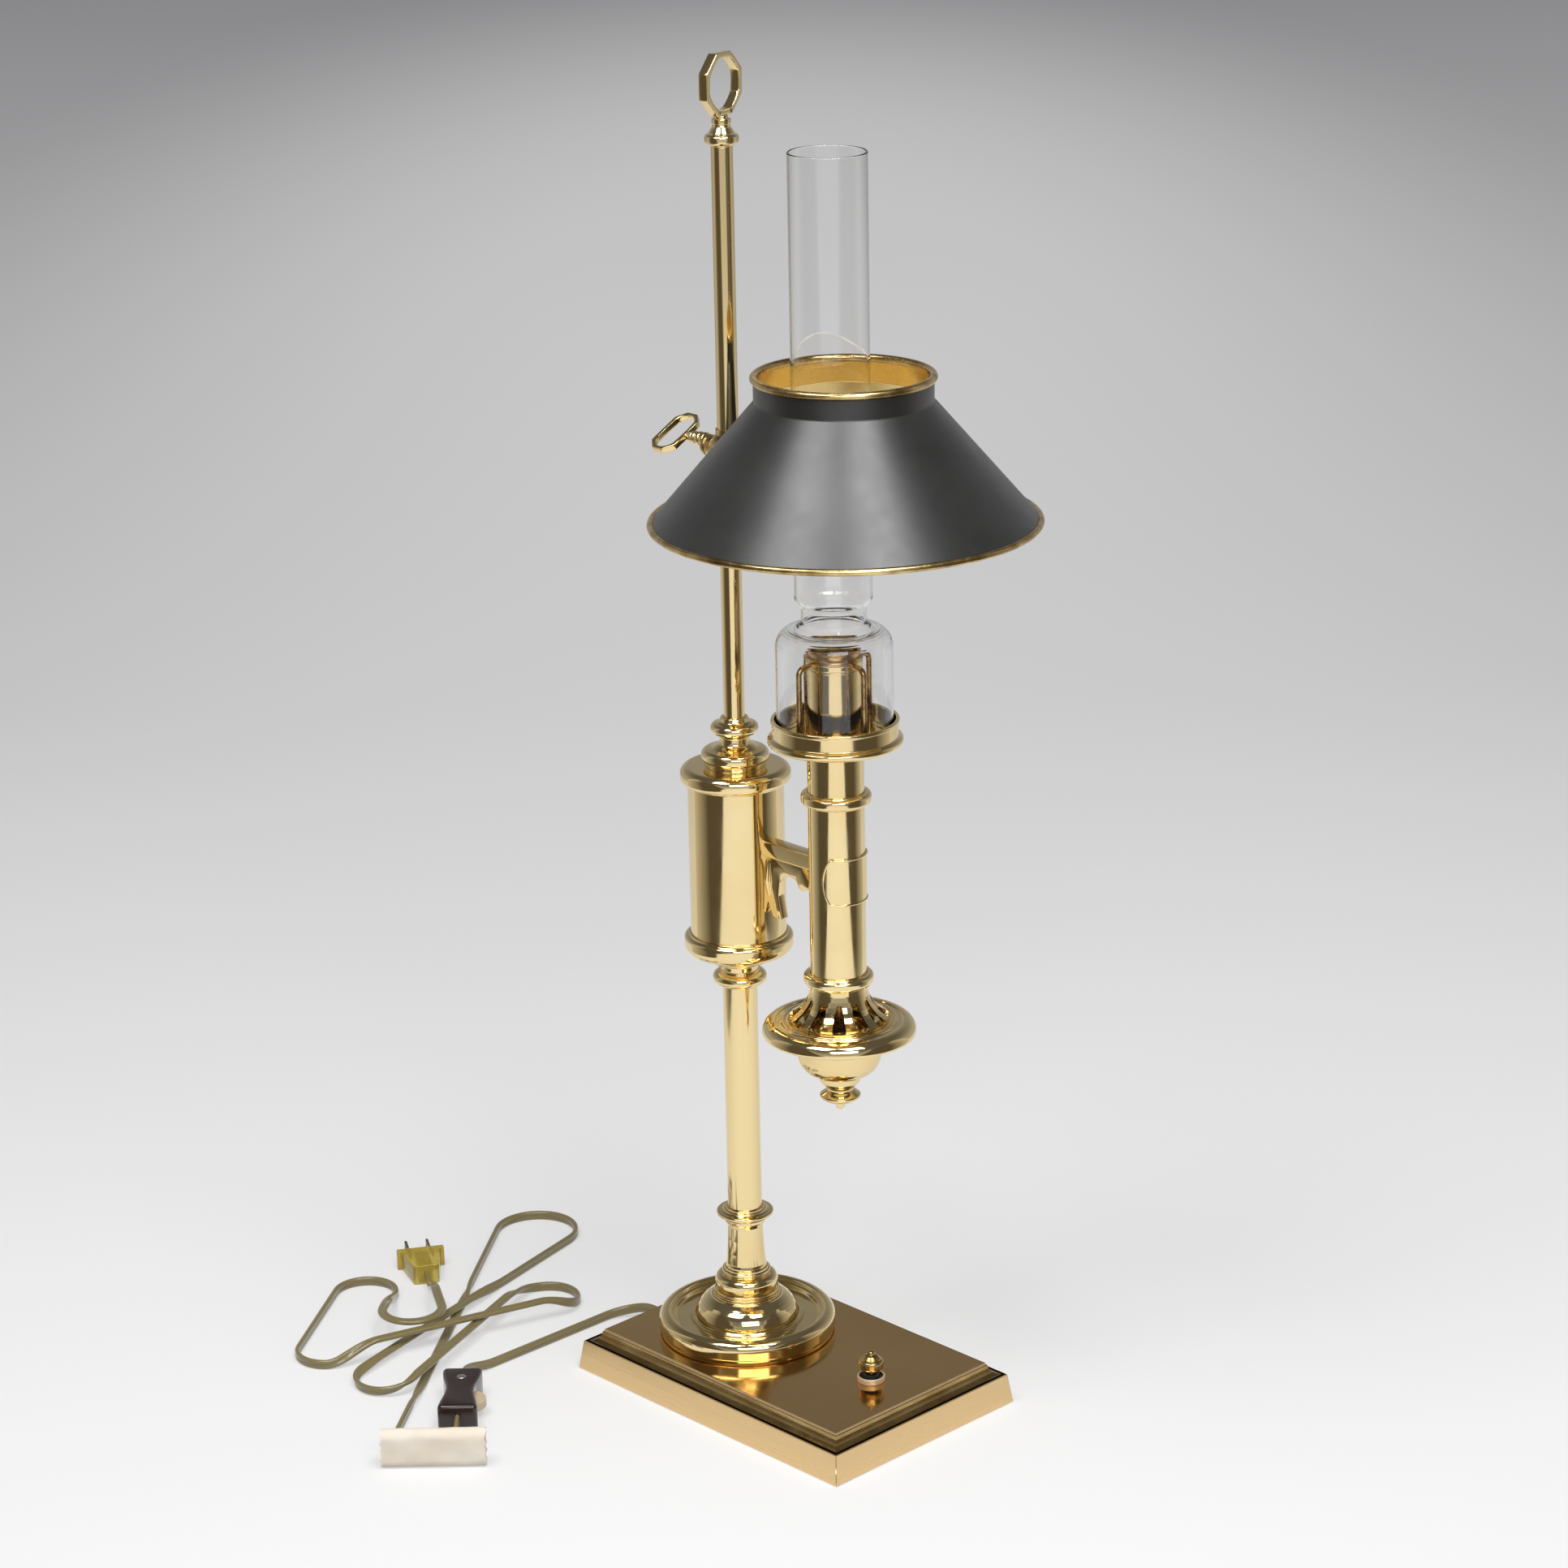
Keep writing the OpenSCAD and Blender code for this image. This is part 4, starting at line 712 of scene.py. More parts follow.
def cove_brass():
    """Dark brass painted into the cove of the base and into the hollow of the dimmer nut, a painted shade."""
    return surface(
        "lamp dark brass", colours().cove, colours().tarnish, (0.4, 60, 5, (1, 1, 3)), (0.2, 0.3, 160, 4),
        Metallic=1
    )


def top_brass():
    """Mirror top of the base, coloured darker and browner than the other brass as painted shade of the dark
    room it reflects, with fine dust and hairlines.
    """
    return surface(
        "lamp base top", (0.70, 0.47, 0.20), (0.62, 0.39, 0.15), (0.8, 14, 6), (0.09, 0.15, 90, 8),
        (0.015, 0.0003, 700, 3, (1, 0.06, 1)), Metallic=1
    )


def shade_paint():
    """Charcoal satin paint with a fine orange peel."""
    pale = [1.35 * c for c in colours().shade]
    return surface(
        "lamp shade paint", colours().shade, pale, (1, 22, 6), (0.36, 0.42, 120, 4), (0.012, 0.0003, 700, 2),
        Metallic=0.75, IOR=1.5, Coat_Weight=0.5, Coat_Roughness=0.33
    )


def shade_lining():
    """Pale brass inside of the shade, spun and lightly lacquered."""
    return surface(
        "lamp shade lining", colours().shade_inside, colours().tarnish, (0.6, 30, 5),
        (0.16, 0.28, 500, 3, (1, 1, 9)), Metallic=1
    )


def browned_brass():
    """Cap browned by the heat of the bulb."""
    return surface(
        "lamp browned brass", colours().cap, colours().tarnish, (1, 150, 4), (0.12, 0.26, 240, 4), Metallic=1
    )


def aged_brass():
    """Wires and inner threads, dull with age."""
    return surface(
        "lamp aged brass", colours().tarnish, colours().cap, (1, 220, 5), (0.2, 0.38, 400, 4), Metallic=1
    )


def aged_collar():
    """Collar of the shade and knob of the base, satin with handling."""
    return surface(
        "lamp satin collar", colours().tarnish, colours().cove, (1, 90, 5), (0.18, 0.3, 300, 4), Metallic=1
    )


def plated_steel():
    """Plain nuts and screws."""
    return surface(
        "lamp plated steel", (0.55, 0.55, 0.54), (0.70, 0.69, 0.67), (1, 300, 4), (0.22, 0.36, 500, 3),
        Metallic=1
    )


def clear_glass():
    """Blown glass with the faintest waviness."""
    finish, shader = new_finish(
        "lamp clear glass", Base_Color=(0.997, 1, 0.998, 1), Transmission_Weight=1, IOR=1.5, Roughness=0
    )
    add_bump(finish, shader, patches(finish, 16, 1, (1, 1, 0.4)), 0.03, 0.0012)
    return finish


def cord_cover():
    """Clear cover over twisted strands."""
    finish, shader = new_finish(
        "lamp cord cover", Roughness=0.28, IOR=1.5, Coat_Weight=0.6, Coat_Roughness=0.12,
        Specular_IOR_Level=0.5
    )
    place = add_node(finish, "ShaderNodeTexCoord")
    fitted = add_node(
        finish, "ShaderNodeMapping",
        {"Vector": place.outputs["UV"], "Scale": (420, 26, 1), "Rotation": (0, 0, 0.5)}
    )
    twist = add_node(
        finish, "ShaderNodeTexWave", {"Vector": fitted.outputs["Vector"], "Scale": 0.6, "Distortion": 1.2}
    )
    lay = spread(finish, twist.outputs["Fac"], 0, 0.8, 0.2, 0.9)
    join_socket(finish, shader, "Base Color", mixed(finish, lay, colours().cord, colours().strand))
    add_bump(finish, shader, patches(finish, 500, 2), 0.05, 0.0004)
    return finish


def moulded(name, colour, low, high, **settings):
    """Moulded plastic with a fine grain and slight shade changes, its roughness between low and high."""
    pale = [min(1, 1.25 * c + 0.004) for c in colour]
    return surface(
        name, colour, pale, (1, 70, 4), (low, high, 160, 4), (0.06, 0.0002, 900, 2), IOR=1.5, **settings
    )


def blade_bronze():
    """Plug blades with patches of green tarnish."""
    finish, shader = new_finish("lamp plug bronze", Metallic=0.85)
    green = spread(finish, patches(finish, 260, 5), 0, 1, 0.45, 0.62)
    join_socket(finish, shader, "Base Color", mixed(finish, green, (0.38, 0.24, 0.11), (0.05, 0.22, 0.13)))
    join_socket(finish, shader, "Roughness", spread(finish, patches(finish, 300, 4), 0.28, 0.5))
    return finish


def tag_paper():
    """Handled paper, a little yellowed and creased."""
    return surface(
        "lamp tag paper", colours().paper, (0.88, 0.77, 0.63), (1, 45, 6), (0.7, 0.9, 200, 4),
        (0.25, 0.0006, 160, 7), Specular_IOR_Level=0.2
    )


def green_felt():
    """Felt under the base."""
    finish, shader = new_finish("lamp felt", Roughness=0.95, Sheen_Weight=0.5, Specular_IOR_Level=0.1)
    fibre = patches(finish, 1500, 6)
    green = mixed(finish, fibre, (0.012, 0.035, 0.018), (0.03, 0.075, 0.04))
    join_socket(finish, shader, "Base Color", green)
    add_bump(finish, shader, fibre, 0.5, 0.0008)
    return finish


FINISHES = {}


def shared(maker):
    """Finish that is made once and then reused."""
    if maker not in FINISHES:
        FINISHES[maker] = maker()
    return FINISHES[maker]


def brass():
    return shared(polished_brass)


def refinished(node, finish):
    """Gives a node that keeps its CAD shape its finish."""
    slots = frame["nodes"][node].data.materials
    slots.clear()
    slots.append(finish)


# Cord route, the same points and rules as the solids


CORD_W = 5.6
CORD_T = 2.8
CORD_STEP = 3.5
CORD_LIFT = 30
WAIST = Vector((-166, -95))
WAIST_IN = 52
WAIST_OUT = 84
TOP_LEVEL = 4
SWITCH_DIR = -44
SWITCH_NEAR = 56
SWITCH_L = 48
SWITCH_MID = 8
BEND_R = 20
BUSHING_Z = 8
EXIT = Vector((-109, 0))
RUN_STRAIGHT = 8
RUN_END = 9
PLUG_T = 12
PLUG_FAR = 92
PLUG_AT = 156
FRONT_R = 17
FRONT_STRAIGHT = 14
# Direction and distance of each bend from the waist, its radius and the side that it turns to.
HANK_BENDS = (
    (125, 155, 24, -1), (270, 60, 18, 1), (100, 70, 18, -1), (230, 80, 18, -1), (180, 95, 18, -1),
    (195, 40, 17, 1),
)


def unit(angle):
    return Vector((math.cos(math.radians(angle)), math.sin(math.radians(angle))))


def ease(t):
    u = min(max(t, 0), 1)
    return u * u * (3 - 2 * u)


SWITCH_A = WAIST + SWITCH_NEAR * unit(SWITCH_DIR)
SWITCH_B = SWITCH_A + SWITCH_L * unit(SWITCH_DIR)
SWITCH_C = SWITCH_A + SWITCH_L / 2 * unit(SWITCH_DIR)
PLUG_TAIL = WAIST + PLUG_FAR * unit(PLUG_AT)
HANK_WHEELS = [
    (SWITCH_B, 0, 1),
    (SWITCH_B + FRONT_STRAIGHT * unit(SWITCH_DIR) + FRONT_R * unit(SWITCH_DIR - 90), FRONT_R, -1),
    *[(WAIST + far * unit(angle), radius, side) for angle, far, radius, side in HANK_BENDS],
    (PLUG_TAIL, 0, 1),
]
RUN_WHEELS = [
    (EXIT, 0, 1),
    (EXIT + Vector((-RUN_STRAIGHT, -BEND_R)), BEND_R, 1),
    (SWITCH_A - RUN_END * unit(SWITCH_DIR) + BEND_R * unit(SWITCH_DIR + 90), BEND_R, 1),
    (SWITCH_A, 0, 1),
]


def heading(a, b):
    """Direction of the straight strand between two wheels, in degrees."""
    d = b[0] - a[0]
    return math.degrees(math.atan2(d.y, d.x) - math.asin((b[2] * b[1] - a[2] * a[1]) / d.length))


def touch(wheel, angle):
    """Point where a strand with that heading touches a wheel."""
    a = math.radians(angle)
    return wheel[0] + wheel[2] * wheel[1] * Vector((math.sin(a), -math.cos(a)))


def belt(wheels, pitch):
    """Plan of a strand round its wheels, each point with the number of the straight that it belongs to."""
    last = len(wheels) - 2
    headings = [heading(wheels[i], wheels[i + 1]) for i in range(last + 1)]
    plan = []
    for i in range(last + 1):
        wheel = wheels[i + 1]
        a = touch(wheels[i], headings[i])
        b = touch(wheel, headings[i])
        count = max(2, math.ceil((b - a).length / pitch))
        plan += [(a + (b - a) * k / count, i) for k in range(count)]
        if i == last:
            plan.append((b, i))
            continue
        sweep = wheel[2] * ((wheel[2] * (headings[i + 1] - headings[i])) % 360)
        count = max(3, math.ceil(wheel[1] * math.radians(abs(sweep)) / pitch))
        plan += [(touch(wheel, headings[i] + sweep * k / count), i + ease(k / count)) for k in range(count)]
    return plan


def rise(spot, end, height):
    """Height added near an end that enters a fitting above the table."""
    return (height - CORD_W / 2) * (1 - ease(((spot - end).length - CORD_W) / CORD_LIFT))


def hank_route(pitch):
    """Places and tilts of the hank: on edge on the table, flat and stacked where strands cross."""
    last = len(HANK_WHEELS) - 2
    route = []
    for spot, mark in belt(HANK_WHEELS, pitch):
        flat = 1 - ease(((spot - WAIST).length - WAIST_IN) / (WAIST_OUT - WAIST_IN))
        level = min(max(0, mark - 1), TOP_LEVEL)
        z = CORD_W / 2 * (1 - flat) + (CORD_T / 2 + level * CORD_STEP) * flat
        z += rise(spot, SWITCH_B, SWITCH_MID) if mark < 1 else 0
        z += rise(spot, PLUG_TAIL, PLUG_T / 2) if mark == last else 0
        route.append((Vector((*spot, z)), 90 * flat))
    return route


def run_route(pitch):
    """Places and tilts of the run from the base to the switch."""
    return [
        (Vector((*spot, CORD_W / 2 + rise(spot, EXIT, BUSHING_Z) + rise(spot, SWITCH_A, SWITCH_MID))), 0)
        for spot, _ in belt(RUN_WHEELS, pitch)
    ]


def cord_piece(name, node, route):
    """Flat twin cord of two round lobes along its route."""
    path = [spot for spot, _ in route]
    wides = []
    for i, (_, tilt) in enumerate(route):
        along = direction(path, i)
        side = Vector((along.y, -along.x, 0)).normalized()
        up = side.cross(along)
        turn = math.radians(tilt)
        wides.append(up * math.cos(turn) + side * math.sin(turn))
    lobe = CORD_T / 2
    reach = CORD_W / 2 - lobe
    waist, steps = 140, 8
    angles = [math.radians(waist * (2 * k / steps - 1)) for k in range(steps + 1)]
    right = [(reach + lobe * math.cos(a), lobe * math.sin(a)) for a in angles]
    section = right + [(-a, -b) for a, b in right]
    mesh = swept(path, section, wides)
    piece = make_piece(name, mesh, node, shared(cord_cover), smooth=CORD_SMOOTH)
    return piece, [spot * MM for spot in path]


# Operators


SENSOR_WIDTH = 36
VIEW_END = 100
WHEEL_SPOT = (3, 6)
WHEEL_R = 8.5
WHEEL_T = 5
WHEEL_ROOM = 0.3
WHEEL_RIDGES = 36
SCREW_X = -12
SCREW_TOP = 16.4


class LAMP_OT_camera(bpy.types.Operator):
    """Camera at the viewing angle of the photograph."""

    bl_idname = "lamp.camera"
    bl_label = "Camera"

    def execute(self, context):
        view = studio()
        a, e, roll = view.turn, view.pitch, view.roll
        right = Vector((math.cos(a), math.sin(a), 0))
        back = Vector((math.sin(a) * math.cos(e), -math.cos(a) * math.cos(e), math.sin(e)))
        up = back.cross(right)
        across = math.cos(roll) * right + math.sin(roll) * up
        over = math.cos(roll) * up - math.sin(roll) * right
        camera = bpy.data.objects.new("camera", bpy.data.cameras.new("camera"))
        camera.data.lens = view.lens
        camera.data.sensor_width = SENSOR_WIDTH
        camera.data.clip_end = VIEW_END
        place = Matrix((across, over, back)).transposed().to_4x4()
        place.translation = Vector(view.target) + back * view.distance
        camera.matrix_world = place
        context.scene.collection.objects.link(camera)
        context.scene.camera = camera
        return {"FINISHED"}


def at_switch():
    return Matrix.Translation((*SWITCH_C, 0)) @ rotated(SWITCH_DIR, "Z")


def switch_outline():
    """Waisted outline of the switch case, drawn in along both sides."""
    half_l, half_w, draw, count = SWITCH_L / 2, 11, 3, 12
    side = [-half_l + 2 * half_l * k / count for k in range(count + 1)]
    lower = [(x, -half_w + draw * math.cos(math.pi / 2 * x / half_l) ** 2) for x in side]
    corners = [(*p, 2.5 if abs(p[0]) == half_l else 0) for p in lower]
    corners += [(-x, -y, r) for x, y, r in corners]
    return softened(corners, 0)


def switch_half(low, high):
    """Half of the switch case with its outer edge rounded over."""
    mesh = slab(switch_outline(), high - low)
    outer = 0 if low == 0 else high - low
    rim = [e for e in mesh.edges if all(abs(v.co.z - outer) < CLOSE for v in e.verts)]
    bevel_edges(mesh, rim, 2.6, 4)
    return moved(mesh, 0, 0, low)


def wheel_blank(radius, thick, ridges=0):
    """Disc of the thumb wheel at its place in the switch, with ridges round its edge if asked for."""
    mesh = spun([(0, 0), (radius, 0, 0.4), (radius, thick, 0.4), (0, thick)], 8 * ridges or 64)
    if ridges:
        ridged(mesh, ridges, 0.025, lambda spot: spot.xy.length > radius - 0.3)
    return moved(mesh, *WHEEL_SPOT, SWITCH_MID - thick / 2)


class LAMP_OT_switch(bpy.types.Operator):
    """Cord switch: two case halves, a ridged thumb wheel and a screw."""

    bl_idname = "lamp.cord_switch"
    bl_label = "Cord switch"

    def execute(self, context):
        brown = moulded("lamp switch plastic", colours().switch, 0.14, 0.24, Coat_Weight=0.3)
        cream = moulded("lamp wheel plastic", colours().wheel, 0.3, 0.45)
        halves = (("switch_lower", 0, SWITCH_MID), ("switch_upper", SWITCH_MID, 2 * SWITCH_MID))
        for node, low, high in halves:
            case = carved(switch_half(low, high), wheel_blank(WHEEL_R + WHEEL_ROOM, WHEEL_T + 2 * WHEEL_ROOM))
            if node == "switch_upper":
                seat = spun([(0, 0), (2.75, 0), (2.75, 4), (0, 4)], 32)
                case = carved(case, moved(seat, SCREW_X, 0, high - 1))
            make_piece(f"{node}_case", turn_mesh(case, at_switch()), node, brown)
        wheel = wheel_blank(WHEEL_R, WHEEL_T, WHEEL_RIDGES)
        make_piece("switch_wheel_ridged", turn_mesh(wheel, at_switch()), "switch_wheel", cream)
        head = spun(
            [(0, 3.5), (1.25, 3.5), (1.25, 15), (2.6, 15, 0.2), (2.6, 16.1, 0.5), (1.4, SCREW_TOP, 0.8),
             (0, SCREW_TOP)], 48
        )
        slot = moved(block((0.7, 6, 1.2)), 0, 0, SCREW_TOP)
        screw = turn_mesh(carved(head, slot), at_switch() @ Matrix.Translation((SCREW_X, 0, 0)))
        make_piece("switch_screw_slotted", screw, "switch_screw", shared(plated_steel))
        return {"FINISHED"}


class LAMP_OT_plug(bpy.types.Operator):
    """Clear two-pin plug with a ribbed grip and its blades."""

    bl_idname = "lamp.plug"
    bl_label = "Plug"

    def execute(self, context):
        looks = {"Transmission_Weight": 0.45, "Coat_Weight": 0.2}
        clear = moulded("lamp plug plastic", colours().plug, 0.16, 0.3, **looks)
        turn = heading(HANK_WHEELS[-2], HANK_WHEELS[-1])
        place = Matrix.Translation((*PLUG_TAIL, 0)) @ rotated(turn, "Z")
        length, grip, flange_w = 27, 23, 14
        side = [(0, -7.5, 2), (grip, -11.5, 1.5), (grip, -flange_w, 0.6), (length, -flange_w, 0.6)]
        outline = softened(side + [(x, -y, r) for x, y, r in reversed(side)], 0.5)
        body = slab(outline, PLUG_T)
        bevel_edges(body, level_edges(body), 1.2, 3)
        ribs = []
        first, pitch, count = 5, 2.4, 7
        for k in range(count):
            rib = block((1, 8, PLUG_T + 0.2))
            bevel_edges(rib, rib.edges[:], 0.3, 2)
            ribs.append(moved(rib, first + pitch * k, 0, PLUG_T / 2))
        make_piece("plug_body_moulded", turn_mesh(joined([body, *ribs]), place), "plug_body", clear)
        refinished("plug_blades", blade_bronze())
        return {"FINISHED"}


class LAMP_OT_cords(bpy.types.Operator):
    """Flat twin cord: the run from the base to the switch, and the hank from the switch to the plug."""

    bl_idname = "lamp.cords"
    bl_label = "Cord"

    def execute(self, context):
        pitch = sizes().cord_pitch
        run, path = cord_piece("cord_run_flex", "cord_run", run_route(pitch))
        hank, path = cord_piece("cord_hank_flex", "cord_hank", hank_route(pitch))
        return {"FINISHED"}


class LAMP_OT_tag(bpy.types.Operator):
    """Blank paper tag, rolled flat, a little buckled and ragged at its ends."""

    bl_idname = "lamp.tag"
    bl_label = "Paper tag"

    def execute(self, context):
        length, height, bend, columns = 57, 22, 5, 28
        gap, aside, paper, squash, buckle, ragged, longest = 0.3, 10, 0.4, 0.9, 0.16, 0.9, 4
        waves = ((1, 0.19, 0.35), (0.6, 0.47, -0.6))
        reach = SWITCH_NEAR + SWITCH_L + FRONT_STRAIGHT + FRONT_R + CORD_T / 2 + gap + bend
        middle = WAIST + reach * unit(SWITCH_DIR) - aside * unit(SWITCH_DIR + 90)
        corners = [(bend, 0, bend), (bend, height, bend), (-bend, height, bend), (-bend, 0, bend)]
        mesh = bmesh.new()
        _, edges = looped(mesh, [(p.x, -length / 2, p.y) for p in softened(corners, bend)])
        bmesh.ops.subdivide_edges(mesh, edges=[e for e in edges if e.calc_length() > longest], cuts=5)
        edges = mesh.edges[:]
        for _ in range(columns):
            edges = drawn(mesh, edges, (0, length / columns, 0))
        for v in mesh.verts:
            x, y, z = v.co
            end = max(0, abs(y) / (length / 2) - ragged) * 10
            sway = sum(size * math.sin(along * y + up * z) for size, along, up in waves)
            v.co.x = x * squash + buckle * sway * min(1, z / 4)
            v.co.y = y - math.copysign(end * (0.5 + 0.5 * math.sin(1.3 * z + 0.8 * x)), y)
        bmesh.ops.recalc_face_normals(mesh, faces=mesh.faces)
        bmesh.ops.solidify(mesh, geom=mesh.faces[:], thickness=paper)
        for v in mesh.verts:
            v.co.z = max(v.co.z, 0)
        place = Matrix.Translation((*middle, 0)) @ rotated(SWITCH_DIR, "Z")
        make_piece("paper_tag_rolled", turn_mesh(mesh, place), "paper_tag", tag_paper())
        return {"FINISHED"}


class LAMP_OT_base(bpy.types.Operator):
    """Moulded base with mitred corners, hollow underneath."""

    bl_idname = "lamp.base"
    bl_label = "Base"

    def execute(self, context):
        low, high = box_of("base_shell")
        half = (high - low).xy / 2
        foot, side_z, top_z = low.z, 17, high.z
        lip_z, lip_in, cove_in, cove_r = top_z - 1.5, 10.7, 4.5, 5.5
        mesh = bmesh.new()
        signs = [(-1, -1), (1, -1), (1, 1), (-1, 1)]
        face = mesh.faces.new([mesh.verts.new((sx * half.x, sy * half.y, foot)) for sx, sy in signs])
        turns = [math.radians(degrees) for degrees in range(0, 91, 10)]
        cove = [(cove_in + cove_r * math.sin(a), lip_z - cove_r * math.cos(a)) for a in turns]
        levels = [
            (2.3, side_z - 0.5), (2.75, side_z), (3.4, side_z), *cove, (lip_in - 0.3, lip_z),
            (lip_in, lip_z + 0.3), (lip_in, top_z - 0.35), (lip_in + 0.35, top_z)
        ]
        self.raise_levels(mesh, face, levels, half)
        under = [
            f for f in mesh.faces if len(f.verts) == 4 and all(abs(v.co.z - foot) < CLOSE for v in f.verts)
        ][0]
        self.raise_levels(mesh, under, [(6, foot), (6, 3), (14.2, 3), (14.2, 21)], half)
        tall, outside = 5, half.x - 3
        mitres = [
            e for e in mesh.edges
            if abs(e.verts[0].co.z - e.verts[1].co.z) > tall and min(abs(v.co.x) for v in e.verts) > outside
        ]
        bevel_edges(mesh, mitres, 0.3, 2)
        # The cove band takes the dark cove brass as painted shade, and the top a darker, browner copy of the
        # brass as painted shade of the dark room it reflects.
        cove_top, plate = lip_z + 0.05, top_z - 0.01
        painted(mesh, lambda _, spot: 1 if side_z < spot.z < cove_top else 2 if spot.z > plate else 0)
        finishes = [shared(satin_brass), shared(cove_brass), shared(top_brass)]
        make_piece("base_moulded", mesh, "base_shell", *finishes, smooth=BASE_SMOOTH)
        return {"FINISHED"}

    @staticmethod
    def raise_levels(mesh, face, levels, half):
        """Carries a face through levels, each set in from the base's foot and at its own height."""
        for inset, z in levels:
            raised = bmesh.ops.extrude_face_region(mesh, geom=[face])["geom"]
            for v in only(raised, BMVert):
                v.co = (math.copysign(half.x - inset, v.co.x), math.copysign(half.y - inset, v.co.y), z)
            face = only(raised, BMFace)[0]


class LAMP_OT_column(bpy.types.Operator):
    """Turned foot and column up to the reservoir."""

    bl_idname = "lamp.column"
    bl_label = "Column"

    def execute(self, context):
        for outline in (foot_dish, foot_collar, column_root, column_ring, reservoir_collar):
            turned_piece(outline.__name__, outline, brass())
        turned_piece("column_tube", tube, shared(rod_brass))
        return {"FINISHED"}


class LAMP_OT_reservoir(bpy.types.Operator):
    """Reservoir drum with its stepped bottom, lid and turning."""

    bl_idname = "lamp.reservoir"
    bl_label = "Reservoir"

    def execute(self, context):
        for outline in (reservoir_bottom, reservoir_lid, reservoir_turning):
            turned_piece(outline.__name__, outline, brass())
        turned_piece("reservoir_drum", tube, brass())
        return {"FINISHED"}


NECK_H = 10.5
BUSH_WALL = 0.85
STEM_R = 8.6
# Room in the shade for the ball and the stem of its collar.
COLLAR_ROOM = 10.6
STEM_ROOM = 8.8
STEM_L = 24
SCREW_HEAD = 15
BOW_STEPS = 6
BOW_L = 30
BOW_W = 18
BOW_T = 2.6
BOW_DEPTH = 3.6
BOW_TURN = -62
LOOP_D = 32
LOOP_T = 3.4
LOOP_DEPTH = 5.5
LOOP_TURN = 103
CURL_R = 1.7
CURL_OUT = 5.4


def bow_outline(width, height, inset, cusp):
    """Eight-sided outline, drawn in by an inset that grows by the cusp towards its corners."""
    x, y = width / 2, height / 2
    cut = min(width, height) * (1 - math.tan(math.pi / 8)) / 2
    ends = [(x, cut - y), (x, y - cut), (x - cut, y), (cut - x, y)]
    corners = [Vector(p) for p in ends] + [-Vector(p) for p in ends]
    spine = Vector((max(0, x - y), max(0, y - x)))
    points = []
    for a, b in zip(corners, corners[1:] + corners[:1]):
        for k in range(BOW_STEPS):
            t = k / BOW_STEPS
            spot = a.lerp(b, t)
            core = Vector((min(max(spot.x, -spine.x), spine.x), min(max(spot.y, -spine.y), spine.y)))
            depth = inset + cusp * (2 * t - 1) ** 2
            points.append(spot + (core - spot).normalized() * depth)
    return points


def bow_mesh(width, height, thick, depth):
    """Eight-sided strap bow in the xz plane, scalloped along its inner side."""
    mesh = bmesh.new()
    loops = []
    for inset, cusp in ((0, 0), (0.8 * thick, 0.25 * thick)):
        loops += looped(mesh, [(*p, -depth / 2) for p in bow_outline(width, height, inset, cusp)])[1]
    bmesh.ops.bridge_loops(mesh, edges=loops)
    thickened(mesh, depth)
    bevel_edges(mesh, [e for e in mesh.edges if e.calc_face_angle(0) > math.radians(20)], 0.5, 3)
    return turn_mesh(mesh, rotated(90, "X"))


class LAMP_OT_rod(bpy.types.Operator):
    """Upper rod with its finial and carrying ring."""

    bl_idname = "lamp.rod"
    bl_label = "Rod"

    def execute(self, context):
        turned_piece("upper_rod", upper_rod, shared(rod_brass))
        turned_piece("top_finial", top_finial, brass())
        low, high = box_of("carrying_ring")
        loop = bow_mesh(LOOP_D, LOOP_D, LOOP_T, LOOP_DEPTH)
        parts = [moved(loop, 0, 0, LOOP_D / 2)]
        for side in (-1, 1):
            curl = spun([(0, 0), (CURL_R, 0, 0.5), (CURL_R, LOOP_DEPTH, 0.5), (0, LOOP_DEPTH)], 24)
            turn_mesh(curl, rotated(-90, "X"))
            parts.append(moved(curl, side * CURL_OUT, -LOOP_DEPTH / 2, CURL_R))
        place = Matrix.Translation((*((low + high) / 2).xy, low.z)) @ rotated(LOOP_TURN, "Z")
        make_piece("carrying_ring_bow", turn_mesh(joined(parts), place), "carrying_ring", brass())
        return {"FINISHED"}


